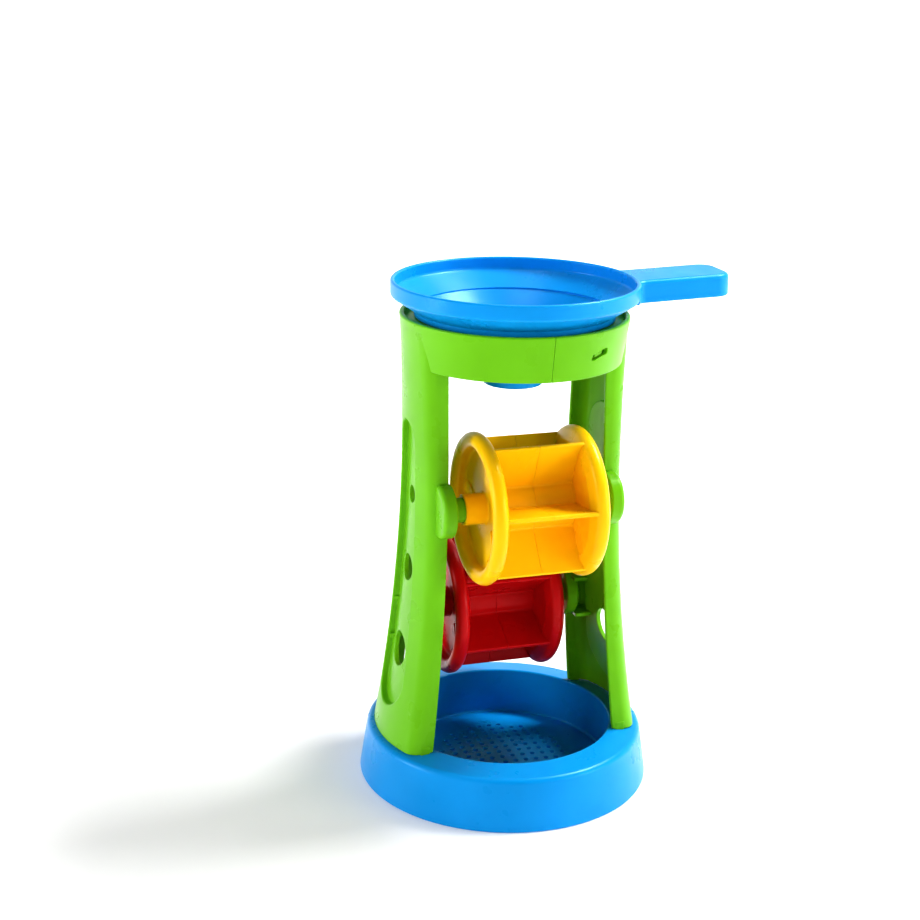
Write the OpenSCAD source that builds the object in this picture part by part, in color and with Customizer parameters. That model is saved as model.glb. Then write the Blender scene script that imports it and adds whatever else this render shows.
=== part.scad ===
// Sand wheel toy: a dished base with a sieve floor, a tower of two clipped halves,
// two paddle wheels that turn on studs between its legs, and a funnel that lifts off.
// Lengths are in millimetres and angles in degrees. Z points up, X runs along the
// axles and the funnel's handle, and the origin is the centre of the base's bottom edge.

/* [Base] */
// Diameter over the bottom edge
base_d = 140; // [138:0.5:144]
// Diameter where the skirt meets the ring's top
shoulder_d = 132.6; // [131:0.2:134]
// Height of the ring's top at the shoulder
shoulder_h = 24.8; // [23:0.1:26]
// Height of the ring's top at the dish
ring_h = 26.5; // [26:0.1:28]
// Radius of the rounded shoulder
shoulder_r = 3; // [1:0.1:4]
// Diameter of the dish at its top edge
dish_d = 103.2; // [101:0.2:105]
// Diameter of the dish at its floor
dish_floor_d = 101.2; // [99:0.2:102]
// Height of the sieve floor at its edge
floor_edge_h = 3.4; // [3:0.1:5]
// Rise of the domed sieve floor at its centre
floor_rise = 4; // [3:0.1:6]
// Thickness of the sieve floor
floor_t = 2; // [1.5:0.1:2.5]
// Diameter of a sieve hole
hole_d = 2.4; // [1.6:0.1:3]
// Distance between sieve holes
hole_pitch = 5.2; // [4.6:0.1:7]
// Diameter of the field of sieve holes
sieve_d = 62; // [40:1:80]
// Wall of the base, the tower and the handle
wall = 2.2; // [1.8:0.1:2.6]

/* [Tower legs] */
// Height of the waist, where a leg's outer face stands upright
waist_z = 170; // [160:1:180]
// Diameter over the legs at the waist
waist_d = 101.8; // [101:0.2:104]
// Distance from the base's shoulder to the foot's outer face
foot_margin = 3; // [2.6:0.1:4]
// Growth of the leg's radius from the waist to the collar's top
leg_flare = 1.5; // [1:0.1:2]
// Width of a foot
foot_w = 61; // [58:0.5:64]
// Width of a leg at the collar
leg_top_w = 41.6; // [38:0.2:45]
// Radius of the leg's long corners
corner_r = 8; // [6:0.5:10]
// How much further the leg's inner edge leans out at the foot than at the waist
inner_lean = 7.8; // [6:0.2:9]
// Height at which the collar swallows the leg
leg_top_z = 222; // [219:0.5:224]
// Thickness of the ribs inside a leg
rib_t = 1.8; // [1.4:0.1:2.4]
// Distance of the ribs above and below an axle
rib_rise = 9.5; // [8:0.1:11]

/* [Leg pocket] */
// Depth of the pocket in the leg's outer face
pocket_depth = 3.4; // [2.6:0.1:4]
// Width of the pocket at its top
pocket_top_w = 19.5; // [17:0.5:20]
// Width of the pocket at its bottom
pocket_bottom_w = 31.5; // [28:0.5:32]
// Height of the pocket's lower end
pocket_low_z = 40.5; // [38:0.5:44]
// Height of the pocket's upper end
pocket_high_z = 180; // [176:0.5:184]
// Height of the top hole
top_hole_z = 144.1; // [142:0.1:147]
// Diameter of the top hole
top_hole_d = 8.2; // [7:0.1:9]
// Height of the middle hole
mid_hole_z = 108.4; // [105:0.1:112]
// Diameter of the middle hole
mid_hole_d = 12.6; // [11:0.1:14]
// Height of the low hole
low_hole_z = 67.6; // [65:0.1:70]
// Diameter of the low hole
low_hole_d = 16.5; // [14:0.1:18]

/* [Foot tabs] */
// Clearance between a hook and the dish's wall
hook_clear = 0.4; // [0.3:0.1:0.8]
// Width of a tab
tab_w = 4.4; // [4:0.1:5]
// Overhang of the hook on a tab
hook_out = 1; // [0.6:0.1:1.2]
// Height of the hook
hook_h = 2.5; // [2:0.1:4]

/* [Collar] */
// Height of the collar's lower edge
collar_z = 206.5; // [205:0.5:208]
// Height of the collar
collar_h = 21; // [20.5:0.1:23]
// Diameter of the collar at its lower edge
collar_d = 99.2; // [98:0.2:100]
// Diameter of the collar at its top
collar_top_d = 105.6; // [104:0.2:108]
// Bevel at the collar's lip
lip_bevel = 0.7; // [0.4:0.1:1]
// Distance from the collar's top down to the funnel's seat
seat_drop = 1.9; // [1.5:0.1:2.5]
// Thickness of the ledge that the funnel sits on
ledge_t = 2; // [1.5:0.1:2.5]
// Thickness of a clip tongue
tongue_t = 1.8; // [1.4:0.1:2.2]
// Height of a clip tongue
tongue_h = 10.6; // [10:0.1:11]
// Distance from the collar's lower edge up to a tongue
tongue_rise = 5; // [4:0.1:5.4]
// Angle from the seam to a tongue's end
tongue_turn = 34; // [33:1:37]
// Angle from the seam to the clip's window
window_turn = 28; // [25:0.5:28.5]
// Length of the clip's window
window_l = 10.2; // [9:0.1:11]
// Width of the clip's window
window_w = 3; // [2.6:0.1:4]
// Length of the clip's nub
nub_l = 5; // [4:0.1:7]
// Width of the clip's nub
nub_w = 1.8; // [1.4:0.1:2]
// Slant of the nub and its window
nub_tilt = 14; // [0:1:18]
// Depth of the nub's end below the collar's surface
nub_sink = 1.2; // [0.4:0.1:1.5]

/* [Wheels] */
// Diameter of a wheel over its rims
wheel_d = 70; // [68:0.5:71]
// Width of a wheel over its rims
wheel_w = 54.8; // [53:0.2:56]
// Thickness of the round rim
rim_t = 7.2; // [6:0.1:8]
// Depth of the hollow in a wheel's side
web_sink = 6.4; // [5.5:0.1:6.8]
// Thickness of the web
web_t = 2; // [1.6:0.1:2.4]
// Length of the hub beyond the rim
hub_over = 4.1; // [3:0.1:5]
// Outer diameter of the hub
hub_d = 14.3; // [13.8:0.1:16]
// Diameter of the hub's bore
bore_d = 11.56; // [10.5:0.02:12]
// Thickness of the floor of the hub's bore
hub_floor_t = 1.2; // [1:0.1:1.6]
// Diameter of the drum at the web
drum_d = 24; // [23.4:0.1:25]
// Diameter of the drum at the seam
drum_seam_d = 23; // [22.6:0.1:23.4]
// Wall of the drum at the seam
drum_wall = 1.8; // [1.5:0.1:2]
// Number of paddles
paddles = 6; // [4:1:8]
// Thickness of a paddle
paddle_t = 2; // [1.6:0.1:2.6]
// Distance from a paddle's tip to the rim's outside
tip_in = 1; // [0.5:0.1:2]
// Length of the spigot that joins the wheel's halves
spigot_l = 5; // [4:0.1:7]
// Number of raised leaves on the web
leaves = 3; // [2:1:4]
// Length of a leaf
leaf_l = 17; // [14:0.5:18]
// Width of a leaf
leaf_w = 7.5; // [5:0.1:8]
// Height of a leaf above the web
leaf_h = 0.8; // [0.4:0.1:1.2]
// Distance of a leaf's middle from the axle
leaf_r = 17.8; // [17:0.1:19]
// Slant of a leaf against the radius
leaf_tilt = 45; // [35:1:55]

/* [Axles and ears] */
// Distance of the upper axle in front of the tower's middle
upper_fore = 24.7; // [23:0.1:26]
// Height of the upper axle
upper_z = 143; // [141:0.1:145]
// Angle of the upper wheel's first paddle above the front
upper_turn = 7.6; // [0:0.2:60]
// Distance of the lower axle behind the tower's middle
lower_aft = 25.5; // [24:0.1:27]
// Height of the lower axle
lower_z = 78; // [76:0.1:80]
// Angle of the lower wheel's first paddle above the front
lower_turn = 34.4; // [0:0.2:60]
// Diameter of an ear
ear_d = 24.8; // [23:0.1:26]
// Thickness of an ear
ear_t = 6.5; // [5.5:0.1:8]
// Radius of the ear's rounded edge
ear_edge_r = 2.2; // [1:0.1:3]
// Gap between the hub's end and the ear
ear_gap = 5.5; // [4.5:0.1:6.5]
// Distance from the ear's face back to the leg's inner edge
ear_proud = 0.4; // [0.2:0.1:1]
// Core diameter of a stud
stud_core_d = 7.2; // [5:0.1:8]
// Bevel at a stud's tip
stud_bevel = 0.6; // [0.3:0.1:1]

/* [Funnel] */
// Outer diameter of the spout
spout_d = 27.4; // [24:0.2:32]
// Length of the spout
spout_l = 6.1; // [4:0.1:6.5]
// Height of the funnel's cone above the spout
cone_h = 25.4; // [24:0.1:25.6]
// Diameter at the cone's top
cone_d = 87; // [84:0.2:88]
// Width of the step that rests on the ledge
step_w = 2.5; // [2.4:0.1:3.2]
// Height of the step
step_h = 2.7; // [2:0.1:4]
// Height of the flared band above the step
band_h = 7; // [6:0.1:9]
// Outer diameter of the rim
rim_d = 113.6; // [111:0.2:118]
// Height of the rim above the band
rim_h = 6.8; // [6:0.1:9]
// Wall of the funnel
funnel_wall = 2; // [1.6:0.1:2.4]
// Reach of the handle from the tower's middle
handle_x = 103; // [95:0.5:115]
// Width of the handle
handle_w = 28; // [24:0.5:34]
// Height of the handle
handle_h = 10.5; // [8.5:0.1:11]
// Upward tilt of the handle towards its end
handle_tilt = 1.8; // [0:0.1:2.5]
// Distance of the handle's top below the rim's top
handle_drop = 0.5; // [0.3:0.1:1]
// Corner radius of the handle's end
handle_corner_r = 8; // [5:0.2:11]

/* [Fits] */
// Gap between parts that rest on each other
seat_gap = 0.3; // [0.2:0.05:0.4]
// Gap along the seam between two moulded halves
seam_gap = 0.1; // [0.06:0.02:0.2]
// Radial clearance of a stud in its hub
stud_clear = 0.08; // [0.05:0.01:0.1]
// Endwise play of a wheel at each stud
end_play = 0.5; // [0.4:0.1:0.8]
// Clearance round a tab and a tongue
clip_clear = 0.3; // [0.2:0.05:0.4]
// Radial clearance of the spigot in the drum
spigot_clear = 0.1; // [0.05:0.01:0.2]
// Clearance round the funnel's cone in the ledge
funnel_clear = 0.7; // [0.5:0.1:0.9]

/* [Hidden] */
$fn = 96;
// Smoothness of the very long arcs
long_fn = 720;
// Overrun of every cut, and overlap of every joined shape
over = 1;
// Number of straight stretches that follow a leg's long corner
corner_steps = 5;
// Directions of the flats that round a leg's long corner
corner_turns = [37, 63];

base_r = base_d / 2;
shoulder_rad = shoulder_d / 2;
dish_r = dish_d / 2;
dish_floor_r = dish_floor_d / 2;
ring_slope = (ring_h - shoulder_h) / (shoulder_rad - dish_r);
floor_low = floor_edge_h - floor_t;
dome_r = (pow(dish_floor_r, 2) + pow(floor_rise, 2)) / (2 * floor_rise);
dome_z = floor_edge_h + floor_rise - dome_r;

half_wheel = wheel_w / 2;
rim_mid = half_wheel - rim_t / 2;
web_x = half_wheel - web_sink - web_t;
hub_floor_x = web_x + hub_floor_t;
stud_tip = hub_floor_x + end_play;
stud_r = bore_d / 2 - stud_clear;
ear_x = half_wheel + hub_over + ear_gap;
ear_r = ear_d / 2;

waist_r = waist_d / 2;
foot_r = shoulder_rad - foot_margin;
foot_z = shoulder_h;
low_drop = waist_z - foot_z;
low_out = foot_r - waist_r;
low_arc = (pow(low_drop, 2) + pow(low_out, 2)) / (2 * low_out);
collar_top = collar_z + collar_h;
top_arc = (pow(collar_top - waist_z, 2) + pow(leg_flare, 2)) / (2 * leg_flare);
inner_x = ear_x + ear_proud;
inner_arc = (pow(low_drop, 2) + pow(inner_lean, 2)) / (2 * inner_lean);
leg_base_z = foot_z - wall;
tab_x = sqrt(pow(dish_r + wall + hook_clear, 2) - pow(foot_w / 2 - wall - hook_out, 2));
leg_in_slope = (foot_w - leg_top_w) / 2 / (collar_z - foot_z);

collar_slope = (collar_top_d - collar_d) / 2 / collar_h;
seat_z = collar_top - seat_drop;
ledge_r = cone_d / 2 + funnel_clear;
tongue_z = collar_z + tongue_rise;
window_z = tongue_z + tongue_h / 2;
// Angle over which a tongue is rooted in its own half, and the root's inset from its edges
root_turn = 8;
root_inset = tongue_h / 10;
seam_turn = asin(clip_clear / (collar_d / 2 - wall));

step_z = seat_z + seat_gap;
spout_r = spout_d / 2;
cone_r = cone_d / 2;
step_r = cone_r + step_w;
rim_r = rim_d / 2;
spout_top = step_z - cone_h;
spout_low = spout_top - spout_l;
band_z = step_z + step_h;
rim_z = band_z + band_h;
rim_top = rim_z + rim_h;
handle_z = rim_top - handle_drop - handle_h;

// Height of the ring's top at the radius r
function ring_top(r) = ring_h - ring_slope * (r - dish_r);

// Radius of a leg's outer face at the height z
function face_r(z) = z < waist_z
    ? waist_r + low_arc - sqrt(pow(low_arc, 2) - pow(waist_z - z, 2))
    : waist_r + top_arc - sqrt(pow(top_arc, 2) - pow(z - waist_z, 2));

// Half the width of a leg at the height z
function leg_half(z) = foot_w / 2 - leg_in_slope * (z - foot_z);

// Distance, along the direction turn, of a flat that touches the leg's round corner
function corner_reach(z, turn) =
    let (yc = leg_half(z) - corner_r, xc = sqrt(pow(face_r(z) - corner_r, 2) - pow(yc, 2)))
    xc * cos(turn) + yc * sin(turn) + corner_r;

// Outer radius of the collar at the height z
function collar_r(z) = collar_d / 2 + collar_slope * (z - collar_z);

// Sideways shift that keeps a slanted wall t thick, for a slope of run over rise
function wall_shift(run, rise, t) = t * norm([run, rise]) / rise;

// Turns a flat outline in Y and Z so that it stands along X, from x0 to x1
module along_x(x0, x1) {
    translate([x0, 0, 0])
        rotate([90, 0, 90])
            linear_extrude(x1 - x0)
                children();
}

// A slot outline with round ends, l long and w wide, lying along its first direction
module stadium(l, w) {
    square([l - w, w], center = true);
    for (s = [-1, 1])
        translate([s * (l - w) / 2, 0])
            circle(d = w);
}

// The ring, its skirt and the dish wall, with the shoulder rounded by a sector of a circle
module base_outline() {
    skirt_in = norm([shoulder_h, base_r - shoulder_rad]);
    top_in = norm([shoulder_rad - dish_r, ring_h - shoulder_h]);
    n1 = [shoulder_h, base_r - shoulder_rad] / skirt_in;
    n2 = [ring_h - shoulder_h, shoulder_rad - dish_r] / top_in;
    corner = [shoulder_rad, shoulder_h];
    // The arc's centre lies shoulder_r inside both the skirt and the ring's top
    cross_n = n1.x * n2.y - n1.y * n2.x;
    k1 = n1 * corner - shoulder_r;
    k2 = n2 * corner - shoulder_r;
    c = [(k1 * n2.y - k2 * n1.y) / cross_n, (k2 * n1.x - k1 * n2.x) / cross_n];
    polygon([
        [base_r, 0],
        c + shoulder_r * n1,
        c + shoulder_r * n2,
        [dish_r, ring_h],
        [dish_floor_r, floor_low],
        [dish_floor_r + wall, floor_low],
        [dish_r + wall, ring_top(dish_r + wall) - wall],
        [shoulder_rad - wall, ring_top(shoulder_rad - wall) - wall],
        [base_r - wall, 0]
    ]);
    translate(c)
        intersection() {
            circle(shoulder_r);
            polygon([[0, 0], 2 * shoulder_r * n1, 2 * shoulder_r * (n1 + n2), 2 * shoulder_r * n2]);
        }
}

// The shallow dome of the sieve floor, before its holes
module floor_outline() {
    intersection() {
        translate([0, dome_z])
            difference() {
                circle(dome_r, $fn = long_fn);
                circle(dome_r - floor_t, $fn = long_fn);
            }
        square([dish_floor_r + wall / 2, floor_edge_h + floor_rise + over]);
    }
}

// The places of the four foot tabs, one child at each
module at_tabs() {
    for (sx = [0, 1])
        for (sy = [0, 1])
            mirror([sx, 0, 0])
                mirror([0, sy, 0])
                    children();
}

module base_dish() {
    reach = floor(sieve_d / 2 / hole_pitch) + 1;
    color("dodgerblue")
        difference() {
            rotate_extrude() {
                base_outline();
                floor_outline();
            }
            for (i = [-reach : reach - 1])
                for (j = [-reach : reach - 1])
                    if (norm([i + 0.5, j + 0.5]) * hole_pitch < sieve_d / 2)
                        translate([(i + 0.5) * hole_pitch, (j + 0.5) * hole_pitch, -over])
                            cylinder(d = hole_d, h = ring_h);
            at_tabs()
                translate([tab_x - clip_clear, foot_w / 2 - wall - clip_clear, ring_h - 2 * wall])
                    cube([tab_w + 2 * clip_clear, wall + 2 * clip_clear, 3 * wall]);
        }
}

// Half outline of all that lies inside a leg's curved outer face, drawn in by inset
module leg_round(inset) {
    difference() {
        translate([0, leg_base_z])
            square([foot_r + over, waist_z - leg_base_z]);
        translate([waist_r + low_arc, waist_z])
            circle(low_arc + inset, $fn = long_fn);
    }
    difference() {
        translate([0, waist_z])
            square([waist_r + leg_flare + over, collar_top - waist_z]);
        translate([waist_r + top_arc, waist_z])
            circle(top_arc + inset, $fn = long_fn);
    }
}

// A leg as a full solid with rounded corners, its walls drawn in by inset
module leg_solid(inset, top_z) {
    low = leg_half(leg_base_z) - inset;
    high = leg_half(top_z) - inset;
    levels = [for (i = [0 : corner_steps]) leg_base_z + (top_z - leg_base_z) * i / corner_steps];
    intersection() {
        rotate_extrude()
            leg_round(inset);
        along_x(0, foot_r + over)
            polygon([[-low, leg_base_z], [low, leg_base_z], [high, top_z], [-high, top_z]]);
        for (turn = corner_turns, s = [-1, 1])
            rotate([0, 0, s * turn])
                rotate([90, 0, 0])
                    linear_extrude(3 * foot_r, center = true)
                        polygon(concat(
                            [[-foot_r, top_z], [-foot_r, leg_base_z]],
                            [for (z = levels) [corner_reach(z, turn) - inset, z]]));
    }
}

// Everything outside the leaning inner edge of a leg
module outside_inner_edge() {
    rotate([90, 0, 0])
        linear_extrude(2 * foot_w, center = true) {
            intersection() {
                translate([inner_x + inner_arc, waist_z])
                    circle(inner_arc, $fn = long_fn);
                translate([inner_x, 0])
                    square([foot_r, waist_z]);
            }
            translate([inner_x, waist_z])
                square([foot_r, collar_top - waist_z]);
        }
}

// The long pocket's outline pushed along X, its edge moved out by grow
module pocket_prism(grow) {
    top_r = pocket_top_w / 2;
    low_r = pocket_bottom_w / 2;
    top_mid = pocket_high_z - top_r;
    low_mid = pocket_low_z + low_r;
    along_x(0, 2 * foot_r) {
        translate([0, top_mid])
            circle(top_r + grow);
        translate([0, low_mid])
            circle(low_r + grow);
        polygon([
            [-low_r - grow, low_mid],
            [low_r + grow, low_mid],
            [top_r + grow, top_mid],
            [-top_r - grow, top_mid]
        ]);
    }
}

// What lies in the pocket's outline and outside the face drawn in by depth
module pocket_cut(grow, depth) {
    difference() {
        pocket_prism(grow);
        rotate_extrude()
            leg_round(depth);
    }
}

// One round hole through the floor of the pocket
module pocket_hole(z, d) {
    translate([inner_x, 0, z])
        rotate([0, 90, 0])
            cylinder(d = d, h = foot_r);
}

// A leg from the foot up to where the collar swallows it. Its channel opens inwards and
// ends in a ceiling just below the collar.
module leg_shell() {
    difference() {
        intersection() {
            leg_solid(0, leg_top_z);
            outside_inner_edge();
        }
        difference() {
            leg_solid(wall, collar_z - over - wall);
            pocket_cut(wall, pocket_depth + wall);
        }
        pocket_cut(0, pocket_depth);
        pocket_hole(top_hole_z, top_hole_d);
        pocket_hole(mid_hole_z, mid_hole_d);
        pocket_hole(low_hole_z, low_hole_d);
    }
}

// Half outline of the space inside the collar
module collar_space() {
    polygon([
        [0, collar_z],
        [collar_r(collar_z) - wall, collar_z],
        [collar_r(collar_top + over) - wall, collar_top + over],
        [0, collar_top + over]
    ]);
}

// What lies to the right of the seam
module right_of_seam() {
    intersection() {
        children();
        translate([seam_gap / 2, -rim_r, 0])
            cube([rim_r, 2 * rim_r, rim_top]);
    }
}

// The collar's wall, thick enough for its inside to be cut to size, with a bevelled lip
module collar_wall() {
    rotate_extrude()
        polygon([
            [collar_r(collar_z) - 2 * wall, collar_z],
            [collar_r(collar_z), collar_z],
            [collar_r(collar_top - lip_bevel), collar_top - lip_bevel],
            [collar_r(collar_top) - lip_bevel, collar_top],
            [collar_r(collar_top) - 2 * wall, collar_top]
        ]);
}

// The ledge inside the collar that the funnel sits on
module ledge() {
    rotate_extrude()
        translate([ledge_r, seat_z - ledge_t])
            square([collar_r(seat_z) - wall / 2 - ledge_r, ledge_t]);
}

// An ear on the leg's edge with the hollow stud that carries a wheel
module ear(y, z) {
    stud_end = ear_x + over;
    translate([0, y, z])
        rotate([0, 90, 0])
            rotate_extrude() {
                polygon([
                    [0, stud_end],
                    [0, ear_x + ear_t],
                    [ear_r - ear_edge_r, ear_x + ear_t],
                    [ear_r, ear_x + ear_t - ear_edge_r],
                    [ear_r, ear_x],
                    [stud_r, ear_x],
                    [stud_r, stud_tip + stud_bevel],
                    [stud_r - stud_bevel, stud_tip],
                    [stud_core_d / 2, stud_tip],
                    [stud_core_d / 2, stud_end]
                ]);
                translate([ear_r - ear_edge_r, ear_x + ear_t - ear_edge_r])
                    circle(ear_edge_r);
            }
}

// Two ribs that tie an ear's disc to the leg's side wall, on the side given by s
module ear_ribs(y, z, s) {
    inner_y = abs(y) - ear_r;
    intersection() {
        difference() {
            leg_solid(wall / 2, collar_z - over);
            pocket_cut(wall / 2, pocket_depth + wall / 2);
        }
        outside_inner_edge();
        for (dz = [-rib_rise, rib_rise])
            translate([0, s > 0 ? inner_y : -inner_y - foot_w, z + dz - rib_t / 2])
                cube([foot_r, foot_w, rib_t]);
    }
}

// The two tabs under a foot, with hooks that hold below the base's ring
module foot_tabs() {
    tab_r = norm([tab_x + tab_w, foot_w / 2]);
    under = ring_top(tab_r) - wall;
    for (s = [0, 1])
        mirror([0, s, 0])
            translate([tab_x, foot_w / 2 - wall, 0]) {
                translate([0, 0, under - clip_clear - hook_h])
                    cube([tab_w, wall, hook_h + 3 * wall]);
                translate([0, -hook_out, under - clip_clear - hook_h])
                    cube([tab_w, hook_out + wall, hook_h]);
            }
}

// A slanted slot outline l long and w wide at the window's place, from the radius r0 to r1
module at_window(r0, r1, l, w) {
    translate([0, 0, window_z])
        rotate([0, 0, window_turn])
            rotate([90, 0, 0])
                translate([0, 0, r0])
                    linear_extrude(r1 - r0)
                        rotate([0, 0, nub_tilt])
                            stadium(l, w);
}

// Half outline of a tongue, which runs clear inside the collar's wall
module tongue_outline() {
    tongue_top = tongue_z + tongue_h;
    outer = wall + clip_clear;
    polygon([
        [collar_r(tongue_z) - outer - tongue_t, tongue_z],
        [collar_r(tongue_z) - outer, tongue_z],
        [collar_r(tongue_top) - outer, tongue_top],
        [collar_r(tongue_top) - outer - tongue_t, tongue_top]
    ]);
}

// Half outline of the root that ties a tongue to its own half's wall
module root_outline() {
    low = tongue_z + root_inset;
    high = tongue_z + tongue_h - root_inset;
    inner = wall + clip_clear + tongue_t / 2;
    polygon([
        [collar_r(low) - inner, low],
        [collar_r(low) - wall / 2, low],
        [collar_r(high) - wall / 2, high],
        [collar_r(high) - inner, high]
    ]);
}

// The springy tongue that reaches into the other half, with its nub
module clip_tongue() {
    rotate([0, 0, -90 - root_turn])
        rotate_extrude(angle = tongue_turn + root_turn)
            tongue_outline();
    rotate([0, 0, -90 - root_turn + seam_turn])
        rotate_extrude(angle = root_turn - 2 * seam_turn)
            root_outline();
    at_window(collar_r(window_z) - wall - clip_clear - tongue_t / 2,
        collar_r(window_z) - nub_sink, nub_l, nub_w);
}

// One half of the tower on the right side, before its clips
module tower_half() {
    difference() {
        union() {
            leg_shell();
            ear_ribs(-upper_fore, upper_z, -1);
            ear_ribs(lower_aft, lower_z, 1);
            ear(-upper_fore, upper_z);
            ear(lower_aft, lower_z);
            right_of_seam()
                collar_wall();
        }
        rotate_extrude()
            collar_space();
        // The foot stands on the ring's sloping top
        rotate_extrude()
            polygon([
                [0, 0],
                [base_r, 0],
                [base_r, ring_top(base_r) + seat_gap],
                [0, ring_top(0) + seat_gap]
            ]);
    }
    foot_tabs();
    right_of_seam()
        ledge();
}

module tower_left() {
    color("limegreen")
        union() {
            mirror([1, 0, 0])
                tower_half();
            clip_tongue();
            mirror([0, 1, 0])
                clip_tongue();
        }
}

module tower_right() {
    color("limegreen")
        difference() {
            tower_half();
            at_window(collar_d / 4, rim_r, window_l, window_w);
            mirror([0, 1, 0])
                at_window(collar_d / 4, rim_r, window_l, window_w);
        }
}

// A raised leaf, the shape that two equal arcs enclose
module leaf() {
    arc = (pow(leaf_l, 2) + pow(leaf_w, 2)) / (4 * leaf_w);
    rotate([0, 0, leaf_tilt])
        intersection_for(s = [-1, 1])
            translate([0, s * (arc - leaf_w / 2)])
                circle(arc);
}

// Half outline of a wheel half, with X measured along the axle from the seam
module wheel_outline() {
    rim_mid_r = (wheel_d - rim_t) / 2;
    rim_in_r = wheel_d / 2 - rim_t;
    drum_in = drum_seam_d / 2 - drum_wall;
    translate([rim_mid_r, rim_mid])
        circle(d = rim_t);
    difference() {
        polygon([
            [0, web_x],
            [drum_in, web_x],
            [drum_in, seam_gap / 2],
            [drum_seam_d / 2, seam_gap / 2],
            [drum_d / 2, web_x],
            [rim_in_r, web_x],
            [rim_mid_r, rim_mid - rim_t / 2],
            [rim_mid_r, rim_mid],
            [rim_in_r, rim_mid],
            [rim_in_r, web_x + web_t],
            [hub_d / 2, web_x + web_t],
            [hub_d / 2, half_wheel + hub_over],
            [0, half_wheel + hub_over]
        ]);
        translate([0, hub_floor_x])
            square([bore_d / 2, wheel_w]);
    }
}

// One moulded half of a wheel on the right side, its first paddle turned up by turn
module wheel_half(turn) {
    tip_r = wheel_d / 2 - tip_in;
    drum_mid = drum_seam_d / 2 - drum_wall / 2;
    rotate([0, 90, 0])
        rotate_extrude()
            wheel_outline();
    for (i = [0 : paddles - 1])
        rotate([-turn - i * 360 / paddles, 0, 0])
            translate([seam_gap / 2, -tip_r, -paddle_t / 2])
                cube([web_x + web_t / 2 - seam_gap / 2, tip_r - drum_mid, paddle_t]);
    for (i = [0 : leaves - 1])
        rotate([i * 360 / leaves, 0, 0])
            along_x(web_x + web_t / 2, web_x + web_t + leaf_h)
                translate([leaf_r, 0])
                    leaf();
}

// The spigot of the left half, which plugs into the right half's drum
module spigot() {
    drum_in = drum_seam_d / 2 - drum_wall;
    rotate([0, 90, 0])
        rotate_extrude()
            polygon([
                [drum_in - spigot_clear - drum_wall, -spigot_l],
                [drum_in + drum_wall / 2, -spigot_l],
                [drum_in + drum_wall / 2, -seam_gap / 2],
                [drum_in - spigot_clear, -seam_gap / 2],
                [drum_in - spigot_clear, spigot_l],
                [drum_in - spigot_clear - drum_wall, spigot_l]
            ]);
}

// Puts a wheel on the upper or the lower axle
module on_upper_axle() {
    translate([0, -upper_fore, upper_z])
        children();
}

module on_lower_axle() {
    translate([0, lower_aft, lower_z])
        children();
}

module upper_wheel_left() {
    color("gold")
        on_upper_axle() {
            mirror([1, 0, 0])
                wheel_half(upper_turn);
            spigot();
        }
}

module upper_wheel_right() {
    color("gold")
        on_upper_axle()
            wheel_half(upper_turn);
}

module lower_wheel_left() {
    color("crimson")
        on_lower_axle() {
            mirror([1, 0, 0])
                wheel_half(lower_turn);
            spigot();
        }
}

module lower_wheel_right() {
    color("crimson")
        on_lower_axle()
            wheel_half(lower_turn);
}

// Half outline of the space inside the funnel, from the spout to the mouth
module funnel_space() {
    cone_run = cone_r - spout_r;
    band_run = rim_r - step_r;
    cone_shift = wall_shift(cone_run, cone_h, funnel_wall);
    band_lift = wall_shift(band_h, band_run, funnel_wall);
    bore_r = spout_r - funnel_wall;
    step_in = step_r - funnel_wall;
    mouth_r = rim_r - funnel_wall;
    polygon([
        [0, spout_low - over],
        [bore_r, spout_low - over],
        [bore_r, spout_top + (bore_r - spout_r + cone_shift) * cone_h / cone_run],
        [step_in, spout_top + (step_in - spout_r + cone_shift) * cone_h / cone_run],
        [step_in, band_z + band_lift - funnel_wall * band_h / band_run],
        [mouth_r, rim_z + band_lift - funnel_wall * band_h / band_run],
        [mouth_r, rim_top + over],
        [0, rim_top + over]
    ]);
}

// Half outline of the funnel's outside, with a round lip at its mouth
module funnel_outline() {
    lip_z = rim_top - funnel_wall / 2;
    polygon([
        [0, spout_low],
        [spout_r, spout_low],
        [spout_r, spout_top],
        [cone_r, step_z],
        [step_r, step_z],
        [step_r, band_z],
        [rim_r, rim_z],
        [rim_r, lip_z],
        [0, lip_z]
    ]);
    translate([rim_r - funnel_wall / 2, lip_z])
        circle(d = funnel_wall);
}

// Outline of the handle from above, starting at x0, its edge drawn in by inset
module handle_outline(x0, inset) {
    end_r = handle_corner_r - inset;
    half_w = handle_w / 2 - inset;
    end_x = handle_x - inset;
    translate([x0, -half_w])
        square([end_x - end_r - x0, 2 * half_w]);
    translate([x0, end_r - half_w])
        square([end_x - x0, 2 * (half_w - end_r)]);
    for (s = [-1, 1])
        translate([end_x - end_r, s * (half_w - end_r)])
            circle(end_r);
}

// A flat shape of the given height at the rim, from the height low, tilted as the handle is
module at_rim(low, height) {
    translate([rim_r, 0, low])
        rotate([0, -handle_tilt, 0])
            translate([-rim_r, 0, 0])
                linear_extrude(height)
                    children();
}

module funnel() {
    color("dodgerblue")
        difference() {
            union() {
                rotate_extrude()
                    funnel_outline();
                at_rim(handle_z, handle_h)
                    handle_outline(rim_r - band_h, 0);
            }
            rotate_extrude()
                funnel_space();
            at_rim(handle_z - over, handle_h - wall + over)
                handle_outline(rim_r + wall, wall);
        }
}

base_dish();
tower_left();
tower_right();
upper_wheel_left();
upper_wheel_right();
lower_wheel_left();
lower_wheel_right();
funnel();
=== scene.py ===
import math

import bmesh
import bpy
import numpy as np
from mathutils import Matrix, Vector
from mathutils.geometry import delaunay_2d_cdt


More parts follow.
